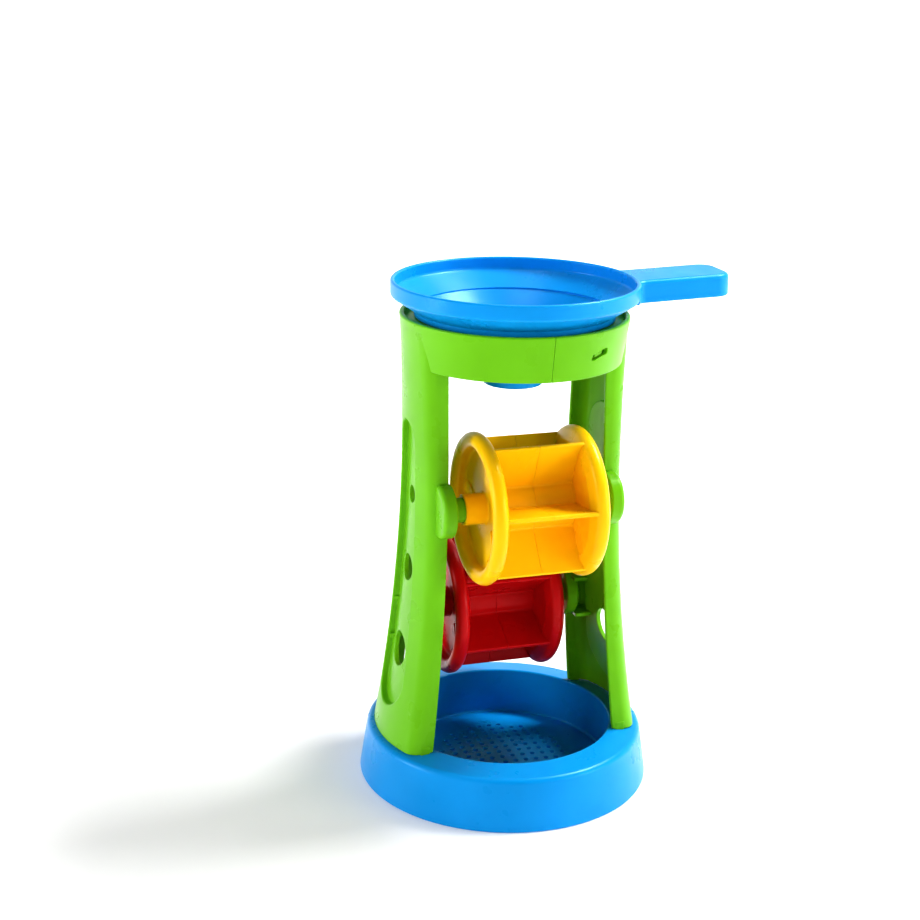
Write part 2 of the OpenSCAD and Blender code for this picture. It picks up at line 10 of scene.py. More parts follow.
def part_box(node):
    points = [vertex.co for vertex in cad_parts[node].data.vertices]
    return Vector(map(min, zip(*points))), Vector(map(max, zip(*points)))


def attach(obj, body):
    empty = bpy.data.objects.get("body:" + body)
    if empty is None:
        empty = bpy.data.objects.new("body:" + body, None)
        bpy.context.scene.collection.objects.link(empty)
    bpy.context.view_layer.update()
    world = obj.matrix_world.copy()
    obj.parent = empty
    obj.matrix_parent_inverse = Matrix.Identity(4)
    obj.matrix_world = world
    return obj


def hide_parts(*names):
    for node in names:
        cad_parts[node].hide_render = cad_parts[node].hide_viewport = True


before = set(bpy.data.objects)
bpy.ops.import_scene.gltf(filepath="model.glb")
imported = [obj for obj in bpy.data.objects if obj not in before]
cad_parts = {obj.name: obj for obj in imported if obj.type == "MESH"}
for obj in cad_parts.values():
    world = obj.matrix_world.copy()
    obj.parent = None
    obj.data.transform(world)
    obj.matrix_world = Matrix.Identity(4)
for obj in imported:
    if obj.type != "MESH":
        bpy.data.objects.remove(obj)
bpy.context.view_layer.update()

# Every size below is in millimetres, and MM turns it into Blender's metres. The frame's
# X runs along the wheels' axles and the funnel's handle, and -Y is the toy's front.
MM = 0.001

# Camera
# The toy is seen from its front left and from a little above, as a buyer would see it
# on a table. The lens and the place come from the perspective of its round rims.
FOCAL_PX = 1708.4
IMAGE_PX = 920
SENSOR = 36.0
CAMERA_AT = (-260.2, -717.5, 394.4)
HEADING = math.radians(18.161)
PITCH = math.radians(17.342)
ROLL = math.radians(1.107)

lens = bpy.data.cameras.new("camera")
lens.sensor_width = SENSOR
lens.lens = SENSOR * FOCAL_PX / IMAGE_PX
lens.clip_end = 40.0
camera = bpy.data.objects.new("camera", lens)
bpy.context.scene.collection.objects.link(camera)
camera.matrix_world = (
    Matrix.Translation([v * MM for v in CAMERA_AT])
    @ Matrix.Rotation(-HEADING, 4, "Z")
    @ Matrix.Rotation(math.pi / 2 - PITCH, 4, "X")
    @ Matrix.Rotation(ROLL, 4, "Z")
)
bpy.context.scene.camera = camera
bpy.context.scene.view_settings.view_transform = "Standard"
bpy.context.scene.view_settings.look = "Medium High Contrast"

# Table top and light
# A plain white table without an edge in view. The main light stands high on the toy's
# right, a wide soft one before it on the right, a tall screen on its left, and a small
# light hangs over the funnel. The white room is darker overhead than round about.
TABLE_HALF = 14.0
TOY_MIDDLE = (0.0, 0.0, 0.12)
LIGHTS = (
    ("main_light", (0.72, 0.08, 1.14), 0.5, 0.35, 20.0),
    ("side_light", (1.75, -1.5, 0.6), 1.2, 0.7, 18.0),
    ("left_screen", (-1.5, 0.1, 0.35), 0.4, 0.9, 12.0),
    ("funnel_light", (-0.1, 0.1, 1.6), 0.5, 0.5, 4.0),
)
ROOM_HORIZON, ROOM_OVERHEAD, ROOM_BAND = 1.1, 0.12, 0.55
TABLE_WHITE, TABLE_ROUGHNESS = 0.9, 0.6
GLOW_NEAR, GLOW_FAR, GLOW_START, GLOW_END = 0.1, 0.9, 0.1, 1.6


def area_light(name, at, width, height, watts):
    """A soft light of the given width and height that looks at the toy's middle."""
    data = bpy.data.lights.new(name, "AREA")
    data.shape = "RECTANGLE"
    data.size, data.size_y = width, height
    data.energy = watts
    lamp = bpy.data.objects.new(name, data)
    bpy.context.scene.collection.objects.link(lamp)
    lamp.location = at
    aim = np.array(TOY_MIDDLE) - np.array(at)
    lamp.rotation_euler = (
        math.atan2(math.hypot(aim[0], aim[1]), -aim[2]), 0.0, math.atan2(aim[1], aim[0]) - math.pi / 2)


def map_range(tree, source, limits, results):
    """A node that carries source's values from limits over to results."""
    node = tree.nodes.new("ShaderNodeMapRange")
    for socket, value in zip(("From Min", "From Max", "To Min", "To Max"), limits + results):
        node.inputs[socket].default_value = value
    tree.links.new(source, node.inputs["Value"])
    return node.outputs["Result"]


for light in LIGHTS:
    area_light(*light)
world = bpy.data.worlds.new("room")
bpy.context.scene.world = world
world.use_nodes = True
room = world.node_tree
sky = room.nodes.new("ShaderNodeTexCoord")
height = room.nodes.new("ShaderNodeSeparateXYZ")
room.links.new(sky.outputs["Generated"], height.inputs["Vector"])
room_light = map_range(room, height.outputs["Z"], (0.0, ROOM_BAND), (ROOM_HORIZON, ROOM_OVERHEAD))
room.links.new(room_light, room.nodes["Background"].inputs["Strength"])
room.nodes["Background"].inputs["Color"].default_value = (1.0, 1.0, 1.0, 1.0)

table_mesh = bpy.data.meshes.new("table_top")
corners = [(-TABLE_HALF, -TABLE_HALF, 0.0), (TABLE_HALF, -TABLE_HALF, 0.0),
           (TABLE_HALF, TABLE_HALF, 0.0), (-TABLE_HALF, TABLE_HALF, 0.0)]
table_mesh.from_pydata(corners, [], [(0, 1, 2, 3)])
table = bpy.data.objects.new("table_top", table_mesh)
bpy.context.scene.collection.objects.link(table)
table_paint = bpy.data.materials.new("white_table")
table_paint.use_nodes = True
table_tree = table_paint.node_tree
table_shader = table_tree.nodes["Principled BSDF"]
table_shader.inputs["Base Color"].default_value = (TABLE_WHITE, TABLE_WHITE, TABLE_WHITE, 1.0)
table_shader.inputs["Roughness"].default_value = TABLE_ROUGHNESS
table_shader.inputs["Emission Color"].default_value = (1.0, 1.0, 1.0, 1.0)
# The table glows by its own emission, painted light that is weak near the toy and grows away from it, so
# that it fades into white
table_place = table_tree.nodes.new("ShaderNodeTexCoord")
distance = table_tree.nodes.new("ShaderNodeVectorMath")
distance.operation = "LENGTH"
table_tree.links.new(table_place.outputs["Object"], distance.inputs[0])
glow = map_range(table_tree, distance.outputs["Value"], (GLOW_START, GLOW_END), (GLOW_NEAR, GLOW_FAR))
table_tree.links.new(glow, table_shader.inputs["Emission Strength"])
table_mesh.materials.append(table_paint)

# Base dish
# One azure polypropylene moulding: a skirt, a flat ring that carries the tower, a dish
# wall and a gently domed floor with round sieve holes. It is hollow and open below.
base_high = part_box("base_dish")[1]
BASE_R = base_high.x / MM
RING_H = base_high.z / MM
SHOULDER_R, SHOULDER_H = 66.3, 24.8
DISH_R, DISH_FLOOR_R = 51.6, 50.6
WALL = 2.2
FLOOR_EDGE_H, FLOOR_RISE, FLOOR_T = 3.4, 4.0, 2.0
SIEVE_HOLE_R, SIEVE_PITCH, SIEVE_FIELD_R = 1.2, 5.2, 31.0
SIEVE_DISC_R = 34.0
AZURE = (0.0, 0.29, 0.72)
DOME_R = (DISH_FLOOR_R**2 + FLOOR_RISE**2) / (2 * FLOOR_RISE)
DOME_MID = FLOOR_EDGE_H + FLOOR_RISE - DOME_R
ARC_STEP = math.radians(11)
WELD = 2e-6
FILL_CHUNK, FILL_GAP = 500, 0.45
# The plastic's noises in cells per metre, and its colour at their two ends
DRIFT_CELLS, GLOSS_CELLS, PEEL_CELLS, NOISE_SPAN = 28.0, 60.0, 700.0, (0.3, 0.7)
DRIFT_DARK, DRIFT_LIGHT, DRIFT_GREY = 0.93, 1.05, 0.004
ROUGHNESS, ROUGHNESS_LESS, ROUGHNESS_MORE, PLASTIC_IOR = 0.3, 0.05, 0.07, 1.49
PEEL_STRENGTH, PEEL_DEPTH = 0.03, 0.0002
WHITE_GLOSS, SKIN_DEPTH, SKIN_SHARE = 0.2, 0.0015, 0.12


def unit(v):
    """Vectors along the last axis, made one long."""
    return v / np.maximum(np.linalg.norm(v, axis=-1, keepdims=True), 1e-12)


def compass(a):
    """Flat unit vectors at the angles a: (cos a, sin a)."""
    return np.stack([np.cos(a), np.sin(a)], -1)


def rounded(corners, closed=True):
    """Points and outward normals of an outline given as corners (x, y, radius).
    Each corner becomes the arc that touches both of its sides: centre + radius * n, where
    n turns from one side's right-hand normal to the next one's."""
    c = np.array(corners, float)
    p = c[:, :2]
    before, after = np.roll(p, 1, 0), np.roll(p, -1, 0)
    if not closed:
        before[0] = 2 * p[0] - p[1]
        after[-1] = 2 * p[-1] - p[-2]
    way_in, way_out = unit(p - before), unit(after - p)
    points, normals = [], []
    for at, radius, a, b in zip(p, c[:, 2], way_in, way_out):
        turn = math.atan2(a[0] * b[1] - a[1] * b[0], a @ b)
        first = math.atan2(-a[0], a[1])
        if radius <= 0 or abs(turn) < 1e-4:
            n = np.array([[math.cos(first + turn / 2), math.sin(first + turn / 2)]])
            points.append(at[None])
            normals.append(n)
            continue
        side = math.copysign(radius, turn)
        angles = first + turn * np.linspace(0, 1, max(3, math.ceil(abs(turn) / ARC_STEP) + 1))
        n = compass(angles)
        start = at - a * radius * math.tan(abs(turn) / 2)
        points.append(start - side * n[0] + side * n)
        normals.append(n)
    return np.concatenate(points), np.concatenate(normals)


def facing(verts, normals, faces):
    """A part of a mesh as (points, normals, faces), its faces turned to face along the
    normals."""
    corner = verts[faces]
    if faces.shape[1] > 4:
        flat = np.cross(corner[0], np.roll(corner[0], -1, 0)).sum(0)[None]
    else:
        flat = np.cross(corner[:, 2] - corner[:, 0], corner[:, -1] - corner[:, 1])
        if faces.shape[1] == 3:
            flat = np.cross(corner[:, 1] - corner[:, 0], corner[:, 2] - corner[:, 0])
    if (flat * normals[faces].mean(1)).sum() < 0:
        faces = faces[:, ::-1]
    return verts, normals, faces


def grid(points, normals, wrap_i=False, wrap_j=False, keep=...):
    """A grid of points [i, j] joined by quads, closed on itself where it wraps. Only the
    quads that keep picks are made."""
    ni, nj = points.shape[:2]
    index = np.arange(ni * nj).reshape(ni, nj)
    if wrap_i:
        index = np.concatenate([index, index[:1]], 0)
    if wrap_j:
        index = np.concatenate([index, index[:, :1]], 1)
    faces = np.stack([index[:-1, :-1], index[:-1, 1:], index[1:, 1:], index[1:, :-1]], -1)[keep]
    return facing(points.reshape(-1, 3), normals.reshape(-1, 3), faces.reshape(-1, 4))


def cap(loop, normal):
    """A flat face over a closed loop of points, which faces along normal."""
    faces = np.arange(len(loop))[None]
    return facing(loop, np.broadcast_to(np.array(normal, float), loop.shape), faces)


def lathe(outline, first=0.0, turn=2 * math.pi, steps=160, closed=True):
    """An outline of (radius, height) points and normals turned about Z:
    x = r cos a, y = r sin a, z = h."""
    points, normals = outline
    whole = turn >= 2 * math.pi - 1e-6
    a = first + turn * np.linspace(0, 1, steps + (not whole), endpoint=not whole)
    ring = compass(a)

    def turned(v):
        flat = v[:, None, :1] * ring[None]
        return np.concatenate([flat, np.broadcast_to(v[:, None, 1:], flat.shape[:2] + (1,))], -1)

    return grid(turned(points), turned(normals), closed, whole)


def dome_z(r, below=0.0):
    """Height of the domed floor at the radius r, on a sphere drawn in by below."""
    return DOME_MID + np.sqrt((DOME_R - below) ** 2 - r**2)


def inside(points, loop):
    """Which points lie in a closed loop, by counting how many of its sides a ray crosses."""
    x, y = points[:, None, 0], points[:, None, 1]
    a, b = loop[None], np.roll(loop, -1, 0)[None]
    spans = (a[..., 1] > y) != (b[..., 1] > y)
    rise = np.where(np.abs(b[..., 1] - a[..., 1]) < 1e-12, 1.0, b[..., 1] - a[..., 1])
    cross_x = a[..., 0] + (y - a[..., 1]) * (b[..., 0] - a[..., 0]) / rise
    return (spans & (x < cross_x)).sum(1) % 2 == 1


def fill(outline, cuts, step):
    """Triangles that fill a flat outline around its cuts. A lattice of points, step apart
    and kept off the loops, is joined by a triangulation that keeps the loops' sides."""
    loops = [outline] + list(cuts)
    low, high = outline.min(0), outline.max(0)
    count = np.maximum(np.round((high - low) / step).astype(int), 1)
    gx = np.linspace(low[0], high[0], count[0] + 1)[1:-1]
    gy = np.linspace(low[1], high[1], count[1] + 1)[1:-1]
    lattice = np.stack(np.meshgrid(gx, gy, indexing="ij"), -1).reshape(-1, 2)
    edge = np.concatenate(loops)
    keep = inside(lattice, outline)
    for loop in cuts:
        keep &= ~inside(lattice, loop)
    lattice = lattice[keep]
    if len(lattice):
        chunks = np.array_split(lattice, max(1, len(lattice) // FILL_CHUNK))
        near = [np.linalg.norm(c[:, None] - edge[None], axis=-1).min(1) for c in chunks]
        lattice = lattice[np.concatenate(near) > FILL_GAP * step]
    points = np.concatenate([edge, lattice])
    sides, first = [], 0
    for loop in loops:
        n = len(loop)
        sides += [(first + i, first + (i + 1) % n) for i in range(n)]
        first += n
    out = delaunay_2d_cdt([tuple(p) for p in points], sides, [], 0, 1e-6)
    points = np.array([tuple(v) for v in out[0]])
    faces = np.array(out[2])
    middle = points[faces].mean(1)
    keep = inside(middle, outline)
    for loop in cuts:
        keep &= ~inside(middle, loop)
    return points, faces[keep]


def weld_and_finish(name, parts):
    """A smooth mesh object from parts. Points that lie on each other are joined, and each
    face corner keeps the normal that its own formula gave."""
    verts = np.concatenate([p[0] for p in parts]) * MM
    normals = unit(np.concatenate([p[1] for p in parts]))
    first = np.cumsum([0] + [len(p[0]) for p in parts[:-1]])
    faces = [p[2] + f for p, f in zip(parts, first)]
    sizes = np.concatenate([np.full(len(f), f.shape[1]) for f in faces])
    corners = np.concatenate([f.ravel() for f in faces])
    mesh = bpy.data.meshes.new(name)
    mesh.vertices.add(len(verts))
    mesh.vertices.foreach_set("co", verts.ravel())
    mesh.loops.add(len(corners))
    mesh.loops.foreach_set("vertex_index", corners.astype(np.int32))
    mesh.polygons.add(len(sizes))
    mesh.polygons.foreach_set("loop_start", (np.cumsum(sizes) - sizes).astype(np.int32))
    mesh.update(calc_edges=True)
    given = mesh.attributes.new("given_normal", "FLOAT_VECTOR", "CORNER")
    given.data.foreach_set("vector", normals[corners].ravel())
    welded = bmesh.new()
    welded.from_mesh(mesh)
    bmesh.ops.remove_doubles(welded, verts=welded.verts, dist=WELD)
    bmesh.ops.triangulate(welded, faces=[f for f in welded.faces if len(f.verts) > 4])
    welded.to_mesh(mesh)
    welded.free()
    kept = np.zeros(len(mesh.loops) * 3)
    mesh.attributes["given_normal"].data.foreach_get("vector", kept)
    mesh.attributes.remove(mesh.attributes["given_normal"])
    mesh.polygons.foreach_set("use_smooth", np.ones(len(mesh.polygons), bool))
    mesh.normals_split_custom_set(kept.reshape(-1, 3))
    mesh.update()
    piece = bpy.data.objects.new(name, mesh)
    bpy.context.scene.collection.objects.link(piece)
    return piece


def moulded_plastic(name, colour):
    """Glossy moulded polypropylene: a body colour that drifts a little with the flow of
    the melt, a gloss that is duller where hands rub it, and a faint orange peel."""
    material = bpy.data.materials.new(name)
    material.use_nodes = True
    tree = material.node_tree
    shader = tree.nodes["Principled BSDF"]
    place = tree.nodes.new("ShaderNodeTexCoord")

    def noise(scale, detail):
        n = tree.nodes.new("ShaderNodeTexNoise")
        n.inputs["Scale"].default_value = scale
        n.inputs["Detail"].default_value = detail
        tree.links.new(place.outputs["Object"], n.inputs["Vector"])
        return n.outputs["Fac"]

    drift = map_range(tree, noise(DRIFT_CELLS, 2.0), NOISE_SPAN, (0.0, 1.0))
    tint = tree.nodes.new("ShaderNodeMix")
    tint.data_type = "RGBA"
    tint.inputs[6].default_value = tuple(DRIFT_DARK * v for v in colour) + (1.0,)
    tint.inputs[7].default_value = tuple(min(1.0, DRIFT_LIGHT * v + DRIFT_GREY) for v in colour) + (1.0,)
    tree.links.new(drift, tint.inputs[0])
    tree.links.new(tint.outputs[2], shader.inputs["Base Color"])
    gloss = map_range(tree, noise(GLOSS_CELLS, 6.0), NOISE_SPAN,
                      (ROUGHNESS - ROUGHNESS_LESS, ROUGHNESS + ROUGHNESS_MORE))
    tree.links.new(gloss, shader.inputs["Roughness"])
    bump = tree.nodes.new("ShaderNodeBump")
    bump.inputs["Strength"].default_value = PEEL_STRENGTH
    bump.inputs["Distance"].default_value = PEEL_DEPTH
    tree.links.new(noise(PEEL_CELLS, 2.0), bump.inputs["Height"])
    tree.links.new(bump.outputs["Normal"], shader.inputs["Normal"])
    shader.inputs["IOR"].default_value = PLASTIC_IOR
    shader.inputs["Specular Tint"].default_value = tuple(
        WHITE_GLOSS + (1 - WHITE_GLOSS) * v for v in colour) + (1.0,)
    shader.inputs["Subsurface Weight"].default_value = SKIN_SHARE
    shader.inputs["Subsurface Radius"].default_value = (1.0, 1.0, 1.0)
    shader.inputs["Subsurface Scale"].default_value = SKIN_DEPTH
    return material


def ring_top(r):
    """Height of the ring's gently sloping top at the radius r."""
    return RING_H - (RING_H - SHOULDER_H) * (r - DISH_R) / (SHOULDER_R - DISH_R)


dome_radii = np.linspace(SIEVE_DISC_R, DISH_FLOOR_R - 3.0, 5)
base_outline = rounded(
    [(r, dome_z(r, FLOOR_T), 0) for r in dome_radii]
    + [(DISH_FLOOR_R + WALL, dome_z(DISH_FLOOR_R, FLOOR_T), 0.6),
       (DISH_R + WALL, ring_top(DISH_R) - WALL, 1.0),
       (SHOULDER_R - WALL, ring_top(SHOULDER_R) - WALL, 1.5),
       (BASE_R - WALL, 0, 0.5),
       (BASE_R, 0, 0.8),
       (SHOULDER_R, SHOULDER_H, 3.0),
       (DISH_R, RING_H + 0.04, 0.9),
       (DISH_FLOOR_R, dome_z(DISH_FLOOR_R), 1.2)]
    + [(r, dome_z(r), 0) for r in dome_radii[::-1]], closed=False)
RING_STEPS = 192
base_parts = [lathe(base_outline, steps=RING_STEPS, closed=False)]

lattice_1d = (np.arange(-8, 8) + 0.5) * SIEVE_PITCH
sieve_at = np.stack(np.meshgrid(lattice_1d, lattice_1d, indexing="ij"), -1).reshape(-1, 2)
sieve_at = sieve_at[np.linalg.norm(sieve_at, axis=1) < SIEVE_FIELD_R]
hole_turn = np.linspace(0, 2 * math.pi, 20, endpoint=False)
hole_ring = compass(hole_turn)
rim_turn = np.linspace(0, 2 * math.pi, RING_STEPS, endpoint=False)
disc_rim = SIEVE_DISC_R * compass(rim_turn)
HOLE_EDGE = 0.35
hole_rim = SIEVE_HOLE_R + HOLE_EDGE


def sieve_skin(below, sign):
    """The floor's disc round its holes, on the dome's sphere, facing up or down."""
    flat, faces = fill(disc_rim, [at + hole_rim * hole_ring for at in sieve_at], SIEVE_PITCH / 2)
    r = np.linalg.norm(flat, axis=1)
    verts = np.concatenate([flat, dome_z(r, below)[:, None]], -1)
    return facing(verts, sign * unit(verts - np.array([0, 0, DOME_MID])), faces)


def sieve_holes():
    """All the holes at once: rings of a small profile (radius, depth) that rounds the upper
    edge, runs down the bore and rounds the lower edge, hung from the dome at each place."""
    profile, profile_n = rounded(
        [(hole_rim + 0.01, 0, 0), (SIEVE_HOLE_R, 0, HOLE_EDGE), (SIEVE_HOLE_R, FLOOR_T, HOLE_EDGE),
         (hole_rim + 0.01, FLOOR_T, 0)], closed=False)
    # Its two ends lie on the rim that the floor's skins leave open
    profile[[0, -1], 0] = hole_rim
    flat = sieve_at[:, None, None] + profile[None, :, None, :1] * hole_ring[None, None]
    r = np.linalg.norm(flat, axis=-1)
    share = profile[None, :, None, 1] / FLOOR_T
    z = dome_z(r) * (1 - share) + dome_z(r, FLOOR_T) * share
    points = np.concatenate([flat, z[..., None]], -1)
    way = profile_n[:, None, :1] * hole_ring[None]
    up = np.broadcast_to(profile_n[:, None, 1:], way.shape[:2] + (1,))
    # A depth grows downwards, so the profile's normals are turned about in the plan only
    normal = np.broadcast_to(np.concatenate([-way, up], -1), points.shape)
    return [grid(points[k], normal[k], False, True) for k in range(len(points))]


base_parts += [sieve_skin(0.0, 1), sieve_skin(FLOOR_T, -1)] + sieve_holes()
azure_plastic = moulded_plastic("azure_plastic", AZURE)
base = weld_and_finish("base", base_parts)
base.data.materials.append(azure_plastic)
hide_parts("base_dish")
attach(base, "tower")

# Tower halves
# Two lime green polypropylene mouldings, each a curved leg of channel section with half
# of the collar, two ears with hollow studs for the wheels, and hooked tabs in the base.
# The left half's tongues clip into slanted windows of the right half.
WAIST_Z, WAIST_R, FOOT_R = 170.0, 50.9, 63.3
FOOT_W, LEG_TOP_W, CORNER_R, LIP_R = 61.0, 41.6, 8.0, 0.9
INNER_X, INNER_LEAN = 37.4, 7.8
COLLAR_Z, COLLAR_H, COLLAR_R, COLLAR_TOP_R = 206.5, 21.0, 49.6, 52.8
LEG_FLARE, SEAT_GAP, FOOT_EDGE = 1.5, 0.3, 0.45
CEILING_Z, SLAB_TOP_Z, HEAD_TOP_Z = 203.3, 207.1, 224.2
POCKET_DEPTH, POCKET_TOP_R, POCKET_LOW_R = 3.4, 9.75, 15.75
POCKET_TOP_Z, POCKET_LOW_Z, POCKET_EDGE = 170.25, 56.25, 0.8
POCKET_HOLES = ((144.1, 4.1), (108.4, 6.3), (67.6, 8.25))
CORNER_STEPS, FACE_POINTS, SIDE_BULGE = 8, 11, 0.02
COLUMN_Z = np.concatenate([np.linspace(29.0, CEILING_Z, 38), [SLAB_TOP_Z]])
HEAD_Z = np.array([208, 209, 212, 215, 218, 221, HEAD_TOP_Z])
LIME = (0.15, 0.47, 0.006)
low_drop = WAIST_Z - SHOULDER_H
LOW_ARC = (low_drop**2 + (FOOT_R - WAIST_R) ** 2) / (2 * (FOOT_R - WAIST_R))
TOP_ARC = ((COLLAR_Z + COLLAR_H - WAIST_Z) ** 2 + LEG_FLARE**2) / (2 * LEG_FLARE)
INNER_ARC = (low_drop**2 + INNER_LEAN**2) / (2 * INNER_LEAN)
LEG_TAPER = (FOOT_W - LEG_TOP_W) / 2 / (COLLAR_Z - SHOULDER_H)
COLLAR_SLOPE = (COLLAR_TOP_R - COLLAR_R) / COLLAR_H


def face_r(z):
    """Radius of a leg's outer face, two long arcs that meet upright at the waist:
    r = waist + R - sqrt(R^2 - (z - waist_z)^2)."""
    arc = np.where(z < WAIST_Z, LOW_ARC, TOP_ARC)
    return WAIST_R + arc - np.sqrt(arc**2 - (z - WAIST_Z) ** 2)


def leg_half(z):
    """Half the width of a leg, which narrows evenly from the foot to the collar."""
    return FOOT_W / 2 - LEG_TAPER * (z - SHOULDER_H)


def inner_edge(z):
    """Distance of a leg's inner edge, which leans out below the waist on a long arc."""
    return INNER_X + INNER_ARC - np.sqrt(INNER_ARC**2 - np.maximum(WAIST_Z - z, 0) ** 2)


def collar_r(z):
    """Outer radius of the collar, a cone that opens upwards."""
    return COLLAR_R + COLLAR_SLOPE * (z - COLLAR_Z)


def quarter(centre, radius, first, last, steps=4):
    """Rows of arcs: centre + radius * (cos a, sin a), with their normals, which point
    outwards for a positive radius and to the centre for a negative one."""
    a = first + (last - first) * np.linspace(0, 1, steps)[None]
    n = np.broadcast_to(compass(a), (len(centre), steps, 2))
    return centre[:, None] + abs(radius) * n, n * math.copysign(1, radius)


def corner_centre(z):
    """Centre of the leg's long round corner, which touches the face and the side."""
    y = leg_half(z) - CORNER_R
    return np.stack([np.sqrt((face_r(z) - CORNER_R) ** 2 - y**2), y], -1)


def loft(flat, flat_n, z, growth, edge_turn):
    """A surface through flat outlines [row, column] at the heights z. Its normal keeps the
    outline's direction n and leans against its growth g per height: (nx, ny, -n . g). Over
    the foot's round edge, at the angle t, it turns down to cos t n - sin t z."""
    lean = -(flat_n * growth).sum(-1, keepdims=True)
    normals = unit(np.concatenate([flat_n, lean], -1)) * np.cos(edge_turn)[:, None, None]
    normals[..., 2] -= np.sin(edge_turn)[:, None]
    return np.concatenate([flat, z[..., None]], -1), normals


def surface_normal(to_space, p, h):
    """Normal of the surface to_space(p, h) at a constant h, towards growing h."""
    e = 1e-3
    du = to_space(p + np.array([e, 0]), h) - to_space(p - np.array([e, 0]), h)
    dv = to_space(p + np.array([0, e]), h) - to_space(p - np.array([0, e]), h)
    n = unit(np.cross(du, dv))
    return n * np.sign((n * (to_space(p, h + e) - to_space(p, h))).sum(-1, keepdims=True))


def skin(to_space, h, outline, cuts, step, sign=1):
    """A surface to_space(p, h) over all p inside a flat outline and outside its cuts."""
    flat, faces = fill(outline, cuts, step)
    return facing(to_space(flat, h), sign * surface_normal(to_space, flat, h), faces)


def relief(to_space, loop, profile):
    """A wall that follows a flat closed loop. At each point p of the loop, with the
    outward direction m, the profile's (s, h) gives to_space(p + s m, h)."""
    (p, m), (sh, n) = loop, profile
    at = p[None] + sh[:, None, :1] * m[None]
    h = np.broadcast_to(sh[:, None, 1], at.shape[:2])
    points = to_space(at, h)
    e = 1e-3
    outwards = unit(to_space(at + e * m[None], h) - to_space(at - e * m[None], h))
    normals = n[:, None, :1] * outwards + n[:, None, 1:] * surface_normal(to_space, at, h)
    return grid(points, unit(normals), False, True)


def slab(outline, low, high, edge):
    """A flat plate from low to high. outline(inset) gives its plan and normals, and the
    upper and lower edges are quarter circles of radius edge."""
    t = np.radians([90, 60, 30, 0])
    inset = np.concatenate([edge * (1 - np.cos(t)), edge * (1 - np.cos(t[::-1]))])
    z = np.concatenate([low + edge * (1 - np.sin(t)), high - edge * (1 - np.sin(t[::-1]))])
    lean = np.concatenate([-t, t[::-1]])
    rows = [outline(i) for i in inset]
    points = np.stack([np.column_stack([p, np.full(len(p), h)]) for (p, _), h in zip(rows, z)])
    normals = np.stack([np.column_stack([math.cos(a) * n, np.full(len(n), math.sin(a))])
                        for (_, n), a in zip(rows, lean)])
    return [grid(points, normals, False, True), cap(points[0], (0, 0, -1)), cap(points[-1], (0, 0, 1))]


def drawn_in(outline):
    """The plan of a slab whose edge is drawn in along its normals."""
    points, normals = outline
    return lambda inset: (points - inset * normals, normals)


def flipped(parts, axis):
    """The mirror image of parts across the plane through the origin that axis crosses."""
    sign = np.ones(3)
    sign[axis] = -1
    return [(v * sign, n * sign, f[:, ::-1]) for v, n, f in parts]


def leg_face(p, h):
    """Point of the leg's face over (y, z), h outside it: x = sqrt((face_r(z) + h)^2 - y^2)."""
    y, z = p[..., 0], p[..., 1]
    return np.stack([np.sqrt((face_r(z) + h) ** 2 - y**2), y, z], -1)


def pocket_outline(step=5.0):
    """The long pocket seen along X, two round ends joined by the straight lines that touch
    both."""
    lean = math.asin((POCKET_LOW_R - POCKET_TOP_R) / (POCKET_TOP_Z - POCKET_LOW_Z))
    low = np.linspace(math.pi - lean, 2 * math.pi + lean, 26)
    top = np.linspace(lean, math.pi - lean, 22)
    n_low = compass(low)
    n_top = compass(top)
    p_low = POCKET_LOW_R * n_low + np.array([0, POCKET_LOW_Z])
    p_top = POCKET_TOP_R * n_top + np.array([0, POCKET_TOP_Z])
    share = np.arange(step, POCKET_TOP_Z - POCKET_LOW_Z, step)[:, None] / (POCKET_TOP_Z - POCKET_LOW_Z)
    # A bulge of a few thousandths keeps three points of a side off one line
    bulge = SIDE_BULGE * np.sin(math.pi * share)
    right = p_low[-1] + (p_top[0] - p_low[-1]) * share + bulge * n_top[0]
    left = p_top[-1] + (p_low[0] - p_top[-1]) * share + bulge * n_top[-1]
    ones = np.ones((len(share), 1))
    return (np.concatenate([p_low, right, p_top, left]),
            np.concatenate([n_low, ones * n_top[0], n_top, ones * n_top[-1]]))


def circle(centre, radius, steps=32):
    """A flat circle's points and outward normals."""
    a = np.linspace(0, 2 * math.pi, steps, endpoint=False)
    n = compass(a)
    return np.array(centre) + radius * n, n


